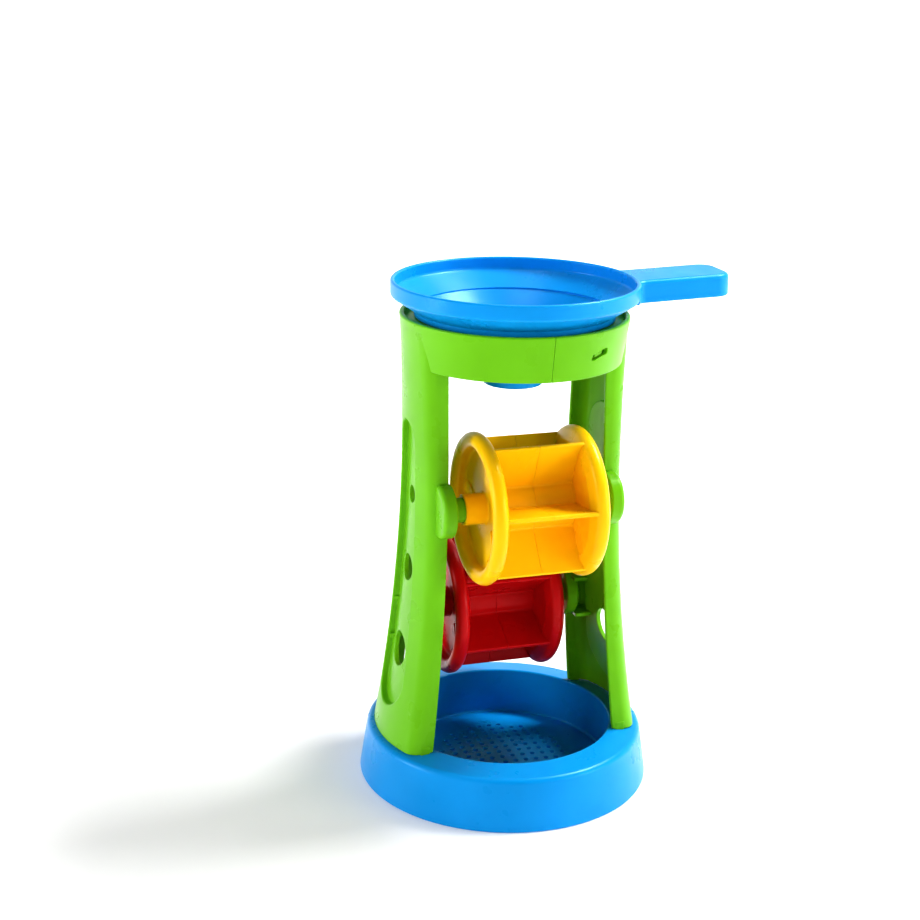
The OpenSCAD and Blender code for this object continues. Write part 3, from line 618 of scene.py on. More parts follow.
def leg_parts():
    """The right leg as surfaces: a round corner, a side and a lip on each edge, and the
    curved face outside and inside, with the pocket, its back and its three holes. Each row
    is the leg's section at a height z, and the first four rows round the foot's edge."""
    t = np.radians([90, 60, 30, 0])
    foot_inset, foot_rise = FOOT_EDGE * (1 - np.cos(t)), FOOT_EDGE * (1 - np.sin(t))
    foot_z = ring_top(FOOT_R) + SEAT_GAP
    z = np.concatenate([np.full(4, foot_z), COLUMN_Z, HEAD_Z])
    inset = np.concatenate([foot_inset, np.zeros(len(z) - 4)])[:, None, None]
    edge_turn = np.concatenate([t, np.zeros(len(z) - 4)])
    centre = corner_centre(z)
    phi = np.arctan2(centre[:, 1], centre[:, 0])
    reach = np.linalg.norm(centre, axis=1)
    behind = collar_r(z) - WALL / 2
    body, slab_rows = 4 + len(COLUMN_Z), 3 + len(COLUMN_Z)
    limit = np.full(len(z), math.pi / 2)
    limit[body:] = phi[body:] + np.arccos(
        ((behind**2 - reach**2 - CORNER_R**2) / (2 * CORNER_R * reach))[body:])
    a = phi[:, None] + (math.pi / 2 - phi)[:, None] * np.linspace(0, 1, CORNER_STEPS + 1)
    head_columns = 1 + math.ceil(CORNER_STEPS * (limit[body] - phi[body]) / (math.pi / 2 - phi[body]))
    a = np.minimum(a, limit[:, None])
    n_corner = compass(a)
    n_arc_a = phi[:, None] * np.linspace(-1, 1, FACE_POINTS)
    n_arc = compass(n_arc_a)

    def per_height(value):
        return (value(z + 0.01) - value(z - 0.01)) / 0.02

    def rows(flat, normal, count, growth):
        flat = (flat - inset * normal)[:count]
        heights = np.broadcast_to(z[:count, None], flat.shape[:2]).copy()
        heights[:4] = ring_top(np.linalg.norm(flat[:4], axis=-1)) + SEAT_GAP + foot_rise[:, None]
        return loft(flat, normal[:count], heights, growth[:count], edge_turn[:count])

    half, edge = leg_half(z), inner_edge(z)
    lip_out = quarter(np.stack([edge + LIP_R, half - LIP_R], -1), LIP_R, math.pi / 2, math.pi)
    lip_in = quarter(np.stack([edge + LIP_R, half - WALL + LIP_R], -1), LIP_R, math.pi, 1.5 * math.pi)
    corner_growth = per_height(corner_centre)[:, None]
    edge_growth = per_height(inner_edge)
    lip_growth = np.stack([edge_growth, per_height(leg_half)], -1)[:, None]
    side_growth = np.concatenate([corner_growth, np.repeat(lip_growth, lip_out[0].shape[1] + 1, 1)], 1)
    corner_out = rows(centre[:, None] + CORNER_R * n_corner, n_corner, len(z), corner_growth)
    side = [np.concatenate([c, l, k[:, :1]], 1) for c, l, k in zip(
        (centre[:, None] + CORNER_R * n_corner[:, -1:], n_corner[:, -1:]), lip_out, lip_in)]
    side_out = rows(side[0], side[1], body, side_growth)
    n_inner = -n_corner[:, ::-1]
    inner = [np.concatenate([l, c], 1) for l, c in zip(
        lip_in, (centre[:, None] - (CORNER_R - WALL) * n_inner, n_inner))]
    inner_growth = np.concatenate([np.repeat(lip_growth, lip_in[0].shape[1], 1),
                                   np.repeat(corner_growth, n_inner.shape[1], 1)], 1)
    side_in = rows(inner[0], inner[1], slab_rows, inner_growth)
    face_growth = per_height(face_r)[:, None, None] * n_arc
    foot_out = rows(face_r(z)[:, None, None] * n_arc, n_arc, 4, face_growth)
    foot_in = rows((face_r(z) - WALL)[:, None, None] * n_arc, -n_arc, 4, face_growth)
    corner_low = [v[:body] for v in corner_out]
    corner_head = [v[body - 1:, :head_columns] for v in corner_out]
    one_side = [grid(*s) for s in (corner_low, corner_head, side_out, side_in)]
    parts = one_side + flipped(one_side, 1) + [grid(*foot_out), grid(*foot_in)]

    def mirror_row(row):
        return row[::-1] * np.array([1, -1, 1])

    under_out = np.concatenate([foot_out[0][0], corner_out[0][0], side_out[0][0]])
    under_in = np.concatenate([side_in[0][0], foot_in[0][0][::-1]])
    under = np.concatenate([mirror_row(side_out[0][0]), mirror_row(corner_out[0][0]), under_out,
                            under_in, mirror_row(side_in[0][0])])
    # Behind the collar the slab's top ends on an arc inside the collar's wall
    shown = corner_out[0][body - 1][head_columns - 1:]
    arc = math.atan2(shown[0, 1], shown[0, 0]) * np.linspace(0, 1, CORNER_STEPS)[:-1]
    hidden = np.column_stack([np.linalg.norm(shown[0, :2]) * compass(arc), np.full(len(arc), SLAB_TOP_Z)])
    top = np.concatenate([hidden, shown, side_out[0][body - 1]])
    ceiling_y = (face_r(CEILING_Z) - WALL) * np.sin(n_arc_a[body - 2][::-1])
    ceiling = np.concatenate([side_in[0][-1], leg_face(
        np.stack([ceiling_y, np.full(len(ceiling_y), CEILING_Z)], -1), -WALL)])
    lip = side_in[0][-1][0]
    front_edge = np.array([[lip[0], s * lip[1], h] for s, h in
                           ((1, CEILING_Z), (-1, CEILING_Z), (-1, SLAB_TOP_Z), (1, SLAB_TOP_Z))])
    parts += [cap(under, (0, 0, -1)), cap(np.concatenate([top, mirror_row(top)]), (0, 0, 1)),
              cap(np.concatenate([ceiling, mirror_row(side_in[0][-1])]), (0, 0, -1)),
              cap(front_edge, (-1, 0, 0))]

    def face_outline(radius, count):
        y = (radius * np.sin(phi))[3:count]
        low = np.stack([radius[3] * np.sin(n_arc_a[3]), np.full(FACE_POINTS, foot_z + FOOT_EDGE)], -1)
        heights = np.concatenate([[foot_z + FOOT_EDGE], z[4:count]])
        high = np.stack([radius[count - 1] * np.sin(n_arc_a[count - 1]),
                         np.full(FACE_POINTS, z[count - 1])], -1)
        right = np.stack([y, heights], -1)[1:-1]
        return np.concatenate([low, right, high[::-1], right[::-1] * np.array([-1, 1])])

    pocket, e = pocket_outline(), POCKET_EDGE
    holes = [circle((0, at), r) for at, r in POCKET_HOLES]
    hole_cuts = [p + 2 * HOLE_EDGE * m for p, m in holes]
    back = -POCKET_DEPTH - WALL
    into = rounded([(2 * e, 0, 0), (0, 0, e), (0, -POCKET_DEPTH, e), (-2 * e, -POCKET_DEPTH, 0)], False)
    out = rounded([(WALL - 2 * e, back, 0), (WALL, back, e), (WALL, -WALL, e),
                   (WALL + 2 * e, -WALL, 0)], False)
    bore = rounded([(2 * HOLE_EDGE, -POCKET_DEPTH, 0), (0, -POCKET_DEPTH, HOLE_EDGE),
                    (0, back, HOLE_EDGE), (2 * HOLE_EDGE, back, 0)], False)
    edge_of = [pocket[0] + s * pocket[1] for s in (2 * e, -2 * e, WALL - 2 * e, WALL + 2 * e)]
    parts += [skin(leg_face, 0.0, face_outline(face_r(z), len(z)), [edge_of[0]], 4.0),
              skin(leg_face, -POCKET_DEPTH, edge_of[1], hole_cuts, 4.0),
              skin(leg_face, back, edge_of[2], hole_cuts, 4.0, -1),
              skin(leg_face, -WALL, face_outline(face_r(z) - WALL, slab_rows), [edge_of[3]], 4.0, -1),
              relief(leg_face, pocket, into), relief(leg_face, pocket, out)]
    return parts + [relief(leg_face, hole, bore) for hole in holes]


# Collar half
# The legs carry half a ring each. The halves meet at two seams, and a ledge inside holds
# the funnel.
SEAM, SEAM_EDGE, COLLAR_STEPS, WINDOW_SPAN = 0.05, 0.25, 90, 6
LEDGE_R, SEAT_Z, LEDGE_T = 44.2, 225.6, 2.0
WINDOW_TURN, WINDOW_Z, WINDOW_TILT = math.radians(28), 216.8, math.radians(14)
WINDOW_L, WINDOW_W, NUB_L, NUB_W, NUB_SINK, CLIP_CLEAR = 10.2, 3.0, 5.0, 1.8, 1.2, 0.3
TONGUE_Z, TONGUE_H, TONGUE_T = 211.5, 10.6, 1.8
TONGUE_SPAN, TONGUE_FOOT_SPAN, NUB_EDGE = (-8, 34), (-7.6, -0.4), 0.6


def ring_part(outline, first, last, steps, edge, open_faces=()):
    """A closed outline of (radius, height) turned from the angle first to last, with
    rounded ends. Over an end's quarter circle of angle t the outline is drawn in by
    edge (1 - cos t) and its normal leans out by t. open_faces lists (i, j0, j1), stretches
    of columns that are left open along the outline's side i."""
    points, normals = outline
    t = np.radians([90, 60, 30])
    reach = edge / points[:, 0].mean()
    a = np.concatenate([first + reach * (1 - np.sin(t)),
                        np.linspace(first + reach, last - reach, steps + 1),
                        last - reach * (1 - np.sin(t[::-1]))])
    lean = np.concatenate([-t, np.zeros(steps + 1), t[::-1]])[None, :, None]
    drawn = points[:, None] - normals[:, None] * edge * (1 - np.cos(lean))
    radial = np.stack([np.cos(a), np.sin(a), 0 * a], -1)
    along = np.stack([-np.sin(a), np.cos(a), 0 * a], -1)
    up = np.array([0, 0, 1.0])
    where = drawn[..., :1] * radial + drawn[..., 1:] * up
    n = normals[:, None]
    normal = np.cos(lean) * (n[..., :1] * radial + n[..., 1:] * up) + np.sin(lean) * along
    keep = np.ones((len(points), len(a) - 1), bool)
    for i, j0, j1 in open_faces:
        keep[i, j0:j1] = False
    ring = grid(where, normal, True, False, keep)
    return [ring, cap(where[:, 0], -along[0]), cap(where[:, -1], along[-1])], where


def collar_face(p, h):
    """Point of the collar over (arc at the collar's lower radius, z), h outside it."""
    a, z = p[..., 0] / COLLAR_R, p[..., 1]
    r = collar_r(z) + h
    return np.stack([r * np.cos(a), r * np.sin(a), z], -1)


def window_face(p, h):
    """Point of the collar over the window's own flat (u, v), h outside the collar:
    w = sqrt(r(z)^2 - u^2) along the window's direction, u across it and v upwards."""
    u, z = p[..., 0], WINDOW_Z + p[..., 1]
    w = np.sqrt((collar_r(z) + h) ** 2 - u**2)
    c, s = math.cos(WINDOW_TURN), math.sin(WINDOW_TURN)
    return np.stack([u * c + w * s, u * s - w * c, z], -1)


def slot_outline(length, width):
    """A slanted slot outline with round ends."""
    r = width / 2
    a = np.linspace(-math.pi / 2, math.pi / 2, 12)
    n = compass(a)
    end = r * n + np.array([length / 2 - r, 0])
    c, s = math.cos(WINDOW_TILT), math.sin(WINDOW_TILT)
    turn = np.array([[c, s], [-s, c]])
    return np.concatenate([end, -end]) @ turn, np.concatenate([n, -n]) @ turn


def collar_parts(windows):
    """Half of the collar on the right side, with or without its two clip windows."""
    top_z, on_wall = COLLAR_Z + COLLAR_H, collar_r(SEAT_Z) - WALL / 2
    outline = rounded([(COLLAR_R - WALL, COLLAR_Z, 0.5), (COLLAR_R, COLLAR_Z, 0.6),
                       (COLLAR_TOP_R, top_z, 0.9), (COLLAR_TOP_R - WALL, top_z, 0.5)])
    first, last = -math.pi / 2 + SEAM / COLLAR_R, math.pi / 2 - SEAM / COLLAR_R
    length = np.linalg.norm(np.roll(outline[0], -1, 0) - outline[0], axis=1)
    sides = sorted(np.argsort(length)[-2:], key=lambda i: -outline[0][i, 0])
    # ring_part rounds each end in three columns, and a window opens a span of columns
    near = 3 + round(COLLAR_STEPS * WINDOW_TURN / math.pi)
    far = COLLAR_STEPS + 2 * 3 - near
    spans = [(at - WINDOW_SPAN, at + WINDOW_SPAN) for at in (near, far)] if windows else []
    open_faces = [(i, j0, j1) for i in sides for j0, j1 in spans]
    parts, where = ring_part(outline, first, last, COLLAR_STEPS, SEAM_EDGE, open_faces)
    ledge = rounded([(LEDGE_R, SEAT_Z - LEDGE_T, 0.5), (on_wall, SEAT_Z - LEDGE_T, 0),
                     (on_wall, SEAT_Z, 0), (LEDGE_R, SEAT_Z, 0.5)])
    parts += ring_part(ledge, first, last, COLLAR_STEPS, SEAM_EDGE)[0]
    if not windows:
        return parts
    shape = rounded([(1.0, 0, 0), (0, 0, 0.35), (0, -WALL, 0.3), (1.0, -WALL, 0)], False)
    frame_part = relief(window_face, slot_outline(WINDOW_L, WINDOW_W), shape)
    ni = len(shape[0])
    rim = frame_part[0].reshape(ni, -1, 3)
    front = []
    for i, h, sign, loop in ((sides[0], 0.0, 1, rim[0]), (sides[1], -WALL, -1, rim[-1])):
        j0, j1 = spans[0]
        edges = [where[i, j0:j1 + 1], where[(i + 1) % len(where), j0:j1 + 1][::-1]]
        border = np.concatenate(edges)
        flat = np.column_stack([np.arctan2(border[:, 1], border[:, 0]) * COLLAR_R, border[:, 2]])
        cut = np.column_stack([np.arctan2(loop[:, 1], loop[:, 0]) * COLLAR_R, loop[:, 2]])
        front.append(skin(collar_face, h, flat, [cut], 2.5, sign))
    front.append(frame_part)
    return parts + front + flipped(front, 1)


def tongue_parts():
    """The left half's front tongue with its root and nub, which springs behind the wall."""
    def band(low, high, out, thick, edge):
        return rounded([(collar_r(low) - out - thick, low, edge), (collar_r(low) - out, low, edge),
                        (collar_r(high) - out, high, edge), (collar_r(high) - out - thick, high, edge)])
    gap = WALL + CLIP_CLEAR
    root = 0.1 * TONGUE_H
    front = -math.pi / 2
    tongue = band(TONGUE_Z, TONGUE_Z + TONGUE_H, gap, TONGUE_T, 0.5)
    foot = band(TONGUE_Z + root, TONGUE_Z + TONGUE_H - root,
                WALL / 2, CLIP_CLEAR + WALL / 2 + TONGUE_T / 2, 0)
    tongue_span, foot_span = (front + np.radians(span) for span in (TONGUE_SPAN, TONGUE_FOOT_SPAN))
    parts = ring_part(tongue, *tongue_span, 24, 0.5)[0] + ring_part(foot, *foot_span, 6, 0.2)[0]
    nub = slot_outline(NUB_L, NUB_W)
    top = rounded([(0, -gap - TONGUE_T / 2, 0), (0, -NUB_SINK, 0.4), (-NUB_EDGE, -NUB_SINK, 0)], False)
    parts += [relief(window_face, nub, top),
              skin(window_face, -NUB_SINK, nub[0] - NUB_EDGE * nub[1], [], 1.2)]
    return parts


# Ears, studs, ribs and foot tabs
# An ear on the leg's edge carries a hollow stud that the wheel's hub turns on, two ribs
# tie it to the leg, and hooked tabs under the foot hold in the base's slots.
EAR_X, EAR_T, EAR_R, EAR_EDGE = 37.0, 6.5, 12.4, 2.2
STUD_TIP, STUD_R, STUD_CORE_R = 20.7, 5.7, 3.6
RIB_T, RIB_RISE, RIB_LAP, RIB_EDGE = 1.8, 9.5, 0.3, 0.25
RIB_BEND = ((0.94, 0.34), (0.5, 0.87), (0.0, 1.0))
TAB_X, TAB_W, HOOK_OUT, HOOK_H, TAB_EDGE = 46.82, 4.4, 1.0, 2.5, 0.3
UPPER_AXLE, LOWER_AXLE = (0.0, -24.7, 143.0), (0.0, 25.5, 78.0)


def about_x(parts, at):
    """Parts made about the axis Z laid along X, (x, y, z) to (z, x, y), and moved to at."""
    order = [2, 0, 1]
    return [(v[:, order] + np.array(at), n[:, order], f) for v, n, f in parts]


def ear_parts(axle):
    """An ear and its stud as one turned shape."""
    outline = rounded([(0, EAR_X + 1, 0), (STUD_CORE_R, EAR_X + 1, 0.4), (STUD_CORE_R, STUD_TIP, 0.3),
                       (STUD_R, STUD_TIP, 0.6), (STUD_R, EAR_X, 0.5), (EAR_R, EAR_X, 0.8),
                       (EAR_R, EAR_X + EAR_T, EAR_EDGE), (0, EAR_X + EAR_T, 0)], False)
    return about_x([lathe(outline, steps=72, closed=False)], axle)


def rib_parts(axle):
    """The two ribs between an ear and the leg's side wall, from the inner edge outwards.
    Their outer end follows the leg's round corner in the directions RIB_BEND."""
    side = math.copysign(1, axle[1])
    parts = []
    for z in (axle[2] - RIB_RISE, axle[2] + RIB_RISE):
        near = abs(axle[1]) - EAR_R
        (xc, yc), = corner_centre(np.array([z]))
        far = CORNER_R - WALL / 2
        plan = rounded([(inner_edge(z) + RIB_LAP, near, 0.5),
                        (math.sqrt((face_r(z) - WALL / 2) ** 2 - near**2), near, 0)]
                       + [(xc + u * far, yc + v * far, 0) for u, v in RIB_BEND]
                       + [(inner_edge(z) + RIB_LAP, yc + far, 0)])
        rib = slab(drawn_in(plan), z - RIB_T / 2, z + RIB_T / 2, RIB_EDGE)
        parts += rib if side > 0 else flipped(rib, 1)
    return parts


def tab_parts():
    """The two hooked tabs under a foot."""
    under = ring_top(math.hypot(TAB_X + TAB_W, FOOT_W / 2)) - WALL - CLIP_CLEAR - HOOK_H
    out = FOOT_W / 2

    def block(y0, y1, z0, z1):
        x0, x1, e = TAB_X, TAB_X + TAB_W, TAB_EDGE
        plan = rounded([(x0, y0, e), (x1, y0, e), (x1, y1, e), (x0, y1, e)])
        return slab(drawn_in(plan), z0, z1, e)
    tabs = block(out - WALL, out, under, under + HOOK_H + 3 * WALL)
    tabs += block(out - WALL - HOOK_OUT, out - 0.1, under, under + HOOK_H)
    return tabs + flipped(tabs, 1)


half = leg_parts() + tab_parts()
for axle in (UPPER_AXLE, LOWER_AXLE):
    half += ear_parts(axle) + rib_parts(axle)
tongues = tongue_parts()
lime_plastic = moulded_plastic("lime_plastic", LIME)
left_half = flipped(half + collar_parts(False), 0) + tongues + flipped(tongues, 1)
for name, parts in (("tower_left", left_half), ("tower_right", half + collar_parts(True))):
    piece = weld_and_finish(name + "_moulding", parts)
    piece.data.materials.append(lime_plastic)
    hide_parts(name)
    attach(piece, "tower")

# Paddle wheels
# Each wheel is two polypropylene mouldings pressed together at the drum: a round rim, a
# sunk web with raised leaves, a hub with a blind bore, and half of the six paddles.
RIM_R, RIM_X1, RIM_IN, RIM_MID_R, RIM_MID_X, RIM_HALF = 35.0, 27.4, 27.8, 31.4, 23.8, 3.6
WEB_X, WEB_T, HUB_R, HUB_X, BORE_R, BORE_FLOOR = 19.0, 2.0, 7.15, 31.5, 5.78, 20.2
DRUM_R, DRUM_SEAM_R, DRUM_IN_R = 12.0, 11.5, 9.7
TIP_R, PADDLE_T, TIP_EDGE, ROOT_R = 34.0, 2.0, 0.75, 1.4
PADDLE_SEAM_EDGE, PADDLE_END_R, PADDLE_END_SLOPE = 0.1, 31.0, 0.67
WEB_EDGE_R, UNDER_RIM = 28.4, (-71.5, -6)
LEAF_L, LEAF_W, LEAF_H, LEAF_R, LEAF_TILT = 17.0, 7.5, 0.8, 17.8, math.radians(45)
SPIGOT_L, SPIGOT_CLEAR, SPIGOT_T = 5.0, 0.1, 1.8
YELLOW, RED = (0.98, 0.54, 0.001), (0.50, 0.001, 0.003)


def star(drum, turn):
    """Outline of the drum with its six paddles. A fillet of radius ROOT_R joins the drum
    to a paddle's side, and the tip has two small quarter circles."""
    h, f = PADDLE_T / 2, ROOT_R
    uc = math.sqrt((drum + f) ** 2 - (h + f) ** 2)
    touch = math.atan2(h + f, uc)
    a = np.linspace(1.5 * math.pi, touch + math.pi, 6)
    n = compass(a)
    fillet = np.array([uc, h + f]) + f * n
    b = np.linspace(0, math.pi / 2, 5)
    m = compass(b)
    tip = np.array([TIP_R - TIP_EDGE, h - TIP_EDGE]) + TIP_EDGE * m
    mid = np.array([[0.5 * (uc + TIP_R), h]])
    c = np.linspace(touch, math.pi / 3 - touch, 8)[1:-1]
    arc_n = compass(c)
    up = np.concatenate([tip, mid, fillet])
    up_n = np.concatenate([m, [[0, 1]], -n])
    down = np.array([1, -1])
    p = np.concatenate([(up * down)[::-1], up, drum * arc_n])
    q = np.concatenate([(up_n * down)[::-1], up_n, arc_n])
    out_p, out_n = [], []
    for k in range(6):
        c, s = math.cos(turn + k * math.pi / 3), math.sin(turn + k * math.pi / 3)
        spin = np.array([[c, s], [-s, c]])
        out_p.append(p @ spin)
        out_n.append(q @ spin)
    return np.concatenate(out_p), np.concatenate(out_n)


def leaf_plan(centre, tilt):
    """Plan of a leaf, the lens that two arcs of radius R enclose. An inset makes both arcs
    smaller about their own centres."""
    arc = (LEAF_L**2 + LEAF_W**2) / (4 * LEAF_W)
    off = arc - LEAF_W / 2
    c, s = math.cos(tilt), math.sin(tilt)
    spin = np.array([[c, s], [-s, c]])

    def plan(inset):
        r = arc - inset
        half = math.acos(off / r) * np.linspace(-1, 1, 17)
        low = np.stack([r * np.sin(half), off - r * np.cos(half)], -1)
        low_n = np.stack([np.sin(half), -np.cos(half)], -1)
        p, n = np.concatenate([low, -low]), np.concatenate([low_n, -low_n])
        return p @ spin + np.array(centre), n @ spin
    return plan


def wheel_half_parts(turn, spigot):
    """The right half of a wheel about the axis Z, its first paddle at the angle turn."""
    inner = rounded([(0, WEB_X, 0), (DRUM_IN_R, WEB_X, 0.5), (DRUM_IN_R, SEAM, 0)], False)
    # The web slopes into the round rim along the line that touches its circle
    a = np.radians(np.linspace(*UNDER_RIM, 8))
    under_rim = [(RIM_MID_R + RIM_HALF * math.cos(v), RIM_MID_X + RIM_HALF * math.sin(v), 0) for v in a]
    outer = rounded([(DRUM_SEAM_R - 0.5, WEB_X, 0), (WEB_EDGE_R, WEB_X, 1.0)] + under_rim
                    + [(RIM_R, RIM_X1, 3.5), (RIM_IN, RIM_X1, 3.5), (RIM_IN, WEB_X + WEB_T, 1.2),
                       (HUB_R, WEB_X + WEB_T, 0.8), (HUB_R, HUB_X, 0.5), (BORE_R, HUB_X, 0.3),
                       (BORE_R, BORE_FLOOR, 0.3), (0, BORE_FLOOR, 0)], False)
    parts = [lathe(inner, steps=96, closed=False), lathe(outer, steps=144, closed=False)]
    t = np.radians([90, 60, 30, 0])
    e = PADDLE_SEAM_EDGE
    rows = np.concatenate([SEAM + e * (1 - np.sin(t)), np.linspace(1.5, WEB_X, 6)])
    inset = np.concatenate([e * (1 - np.cos(t)), np.zeros(6)])
    shapes = [star(DRUM_SEAM_R + (DRUM_R - DRUM_SEAM_R) * x / WEB_X, turn) for x in rows]
    points = np.stack([np.column_stack([p - i * n, np.full(len(p), x)])
                       for (p, n), x, i in zip(shapes, rows, inset)])
    normals = np.stack([np.column_stack([n, np.zeros(len(n))]) for _, n in shapes])
    cos, sin = np.cos(t)[:, None, None], np.sin(t)[:, None, None]
    normals[:4] = normals[:4] * cos - np.array([0, 0, 1]) * sin
    ends = points[-1:].copy()
    r = np.linalg.norm(ends[..., :2], axis=-1)
    ends[..., 2] = WEB_X + 1 + np.maximum(r - PADDLE_END_R, 0) * PADDLE_END_SLOPE
    points, normals = np.concatenate([points, ends]), np.concatenate([normals, normals[-1:]])
    parts.append(grid(points, normals, False, True))
    edge = points[0]
    ring = edge.copy()
    ring[:, :2] *= DRUM_IN_R / np.linalg.norm(edge[:, :2], axis=1, keepdims=True)
    seam_n = np.broadcast_to([0.0, 0.0, -1.0], (2,) + edge.shape)
    parts.append(grid(np.stack([edge, ring]), seam_n, False, True))
    for k in range(3):
        a = k * 2 * math.pi / 3
        plan = leaf_plan((LEAF_R * math.cos(a), LEAF_R * math.sin(a)), a + LEAF_TILT)
        parts += slab(plan, WEB_X + WEB_T - 0.4, WEB_X + WEB_T + LEAF_H, 0.35)
    if spigot:
        out = DRUM_IN_R - SPIGOT_CLEAR
        tube = rounded([(out - SPIGOT_T, -SPIGOT_L, 0.3), (out, -SPIGOT_L, 0.5),
                        (out, SPIGOT_L, 0.3), (out - SPIGOT_T, SPIGOT_L, 0.3)])
        parts.append(lathe(tube, steps=64))
    return parts


wheels = (("upper", UPPER_AXLE, 7.6, YELLOW, "yellow_plastic"),
          ("lower", LOWER_AXLE, 34.4, RED, "red_plastic"))
for level, axle, turn, colour, slot in wheels:
    plastic = moulded_plastic(level + "_wheel_plastic", colour)
    first_paddle = math.pi - math.radians(turn)
    right = about_x(wheel_half_parts(first_paddle, False), axle)
    left = flipped(about_x(wheel_half_parts(first_paddle, True), axle), 0)
    for side, parts in (("left", left), ("right", right)):
        piece = weld_and_finish(f"{level}_{side}_half", parts)
        piece.data.materials.append(plastic)
        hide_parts(f"{level}_wheel_{side}")
        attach(piece, level + "_wheel")

# Funnel
# One azure moulding that lifts out of the collar: a spout, a cone, a step that rests on
# the ledge, a flared band, an upright rim with a round lip, and a hollow flat handle.
SPOUT_R, SPOUT_LOW, SPOUT_TOP, CONE_R, STEP_Z = 13.7, 194.4, 200.5, 43.5, 225.9
STEP_R, BAND_Z, RIM_Z, FUNNEL_R, FUNNEL_TOP = 46.0, 228.6, 235.6, 56.8, 242.4
FUNNEL_WALL, LIP_ROUND = 2.0, 0.98
HANDLE_X, HANDLE_HALF, HANDLE_LOW, HANDLE_TOP, HANDLE_END_R = 103.0, 14.0, 231.4, 241.9, 8.0
HANDLE_EDGE, HANDLE_LOW_EDGE, HANDLE_FOOT_R, HANDLE_TILT = 2.2, 0.7, 5.0, math.radians(1.8)
HOLLOW_LIP, HOLLOW_ROOF_EDGE = 1.0, 0.8


def funnel_bowl():
    """The funnel turned about its axis, with its wall of even thickness."""
    run, band_run = CONE_R - SPOUT_R, FUNNEL_R - STEP_R
    slope, band_slope = (STEP_Z - SPOUT_TOP) / run, (RIM_Z - BAND_Z) / band_run
    t = FUNNEL_WALL
    lift = t * math.hypot(1, band_slope)
    bore = SPOUT_R - t
    cone_at = t * math.hypot(1, slope) / slope
    inner = [(FUNNEL_R - t, RIM_Z + lift - t * band_slope, 1.8),
             (STEP_R - t, BAND_Z + lift - t * band_slope, 0.3),
             (STEP_R - t, SPOUT_TOP + (STEP_R - t - SPOUT_R + cone_at) * slope, 0.3),
             (bore, SPOUT_TOP + (bore - SPOUT_R + cone_at) * slope, 1.5)]
    outline = rounded([(bore, SPOUT_LOW, 0.5), (SPOUT_R, SPOUT_LOW, 0.6), (SPOUT_R, SPOUT_TOP, 1.2),
                       (CONE_R, STEP_Z, 0.3), (STEP_R, STEP_Z, 0.6), (STEP_R, BAND_Z, 0.8),
                       (FUNNEL_R, RIM_Z, 1.6), (FUNNEL_R, FUNNEL_TOP, LIP_ROUND),
                       (FUNNEL_R - t, FUNNEL_TOP, LIP_ROUND)] + inner)
    return [lathe(outline, steps=192)]


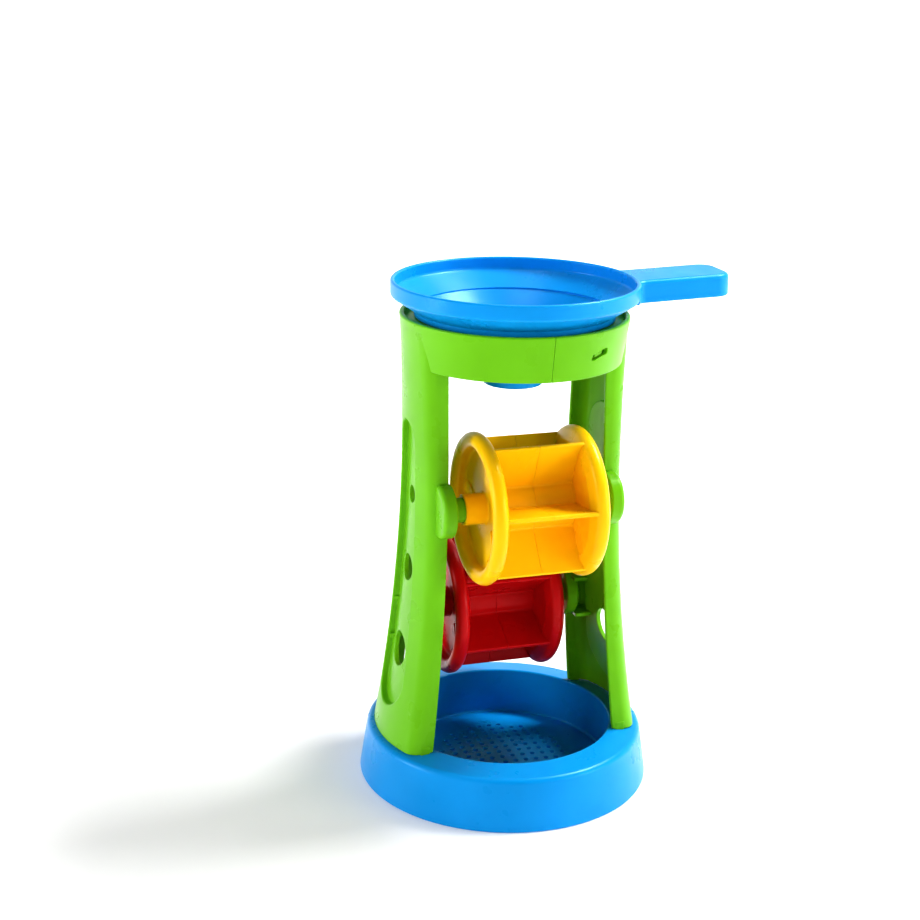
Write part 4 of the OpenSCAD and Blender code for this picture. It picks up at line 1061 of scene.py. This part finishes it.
def handle_parts():
    """The handle: walls that follow its plan, whose two ends slide inwards with the band's
    slope, a flat top, and a hollow open below."""
    foot_x = math.sqrt((FUNNEL_R + HANDLE_FOOT_R) ** 2 - (HANDLE_HALF + HANDLE_FOOT_R) ** 2)
    root = math.atan2(HANDLE_HALF + HANDLE_FOOT_R, foot_x)
    a = np.linspace(root + math.pi, 1.5 * math.pi, 8)[::-1]
    n = compass(a)
    fillet = np.array([foot_x, HANDLE_HALF + HANDLE_FOOT_R]) + HANDLE_FOOT_R * n
    b = np.linspace(0, math.pi / 2, 10)
    m = compass(b)
    corner = np.array([HANDLE_X - HANDLE_END_R, HANDLE_HALF - HANDLE_END_R]) + HANDLE_END_R * m
    side_x = np.linspace(HANDLE_X - HANDLE_END_R, foot_x, 6)[1:-1]
    side = np.column_stack([side_x, np.full(len(side_x), HANDLE_HALF)])
    flank = np.array([[-math.sin(root), math.cos(root)]])
    end = fillet[-1:]
    up = np.concatenate([corner, side, fillet, end, end])
    up_n = np.concatenate([m, np.tile([0.0, 1.0], (len(side), 1)), -n, flank, flank])
    down = np.array([1, -1])
    p = np.concatenate([(up * down)[::-1], up])
    q = np.concatenate([(up_n * down)[::-1], up_n])
    low_e, top_e = HANDLE_LOW_EDGE, HANDLE_EDGE
    t = np.radians([90, 67, 45, 22, 0])
    z = np.concatenate([HANDLE_LOW + low_e * (1 - np.sin(t)), [HANDLE_LOW + 2.5, HANDLE_LOW + 5],
                        HANDLE_TOP - top_e * (1 - np.sin(t[::-1]))])
    inset = np.concatenate([low_e * (1 - np.cos(t)), [0, 0], top_e * (1 - np.cos(t[::-1]))])
    lean = np.concatenate([-t, [0, 0], t[::-1]])
    flat = p[None] - inset[:, None, None] * q[None]
    band = STEP_R + (z - BAND_Z) * (FUNNEL_R - STEP_R) / (RIM_Z - BAND_Z)
    reach = np.minimum(FUNNEL_R, band) - FUNNEL_WALL / 2
    ends = np.array([math.cos(root), math.sin(root)])
    flat[:, -1] = reach[:, None] * ends
    flat[:, 0] = reach[:, None] * ends * down
    points = np.concatenate([flat, np.broadcast_to(z[:, None, None], flat.shape[:2] + (1,))], -1)
    normals = np.concatenate([np.cos(lean)[:, None, None] * q[None],
                              np.broadcast_to(np.sin(lean)[:, None, None], (len(z), len(q), 1))], -1)
    parts = [grid(points, normals)]

    def closed_loop(row):
        back = np.linspace(root, -root, 9)[1:-1]
        return np.concatenate([row[:, :2], reach_of(row) * compass(back)])

    def reach_of(row):
        return np.linalg.norm(row[0, :2])

    def level(p, h):
        return np.concatenate([p, np.broadcast_to(h, p.shape[:-1])[..., None]], -1)

    x0, x1 = FUNNEL_R + WALL, HANDLE_X - WALL
    hollow_half, end_r = HANDLE_HALF - WALL, HANDLE_END_R - WALL
    hollow = rounded([(x0, -hollow_half, 1.5), (x1, -hollow_half, end_r),
                      (x1, hollow_half, end_r), (x0, hollow_half, 1.5)])
    roof, edge = HANDLE_TOP - WALL, HOLLOW_ROOF_EDGE
    lip = rounded([(-2 * edge, roof, 0), (0, roof, edge), (0, HANDLE_LOW, low_e),
                   (HOLLOW_LIP, HANDLE_LOW, 0)], False)
    parts.append(relief(level, hollow, lip))
    parts += [skin(level, HANDLE_TOP, closed_loop(points[-1]), [], 4.0),
              skin(level, HANDLE_LOW, closed_loop(points[0]), [hollow[0] + HOLLOW_LIP * hollow[1]], 4.0, -1),
              skin(level, roof, hollow[0] - 2 * edge * hollow[1], [], 4.0, -1)]
    # The whole handle is tilted upwards about the rim's lower edge
    c, s = math.cos(HANDLE_TILT), math.sin(HANDLE_TILT)
    tilt, foot = np.array([[c, 0, s], [0, 1, 0], [-s, 0, c]]), np.array([FUNNEL_R, 0, HANDLE_LOW])
    return [((v - foot) @ tilt + foot, n @ tilt, f) for v, n, f in parts]


funnel = weld_and_finish("funnel_moulding", funnel_bowl() + handle_parts())
funnel.data.materials.append(azure_plastic)
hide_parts("funnel")
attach(funnel, "funnel")
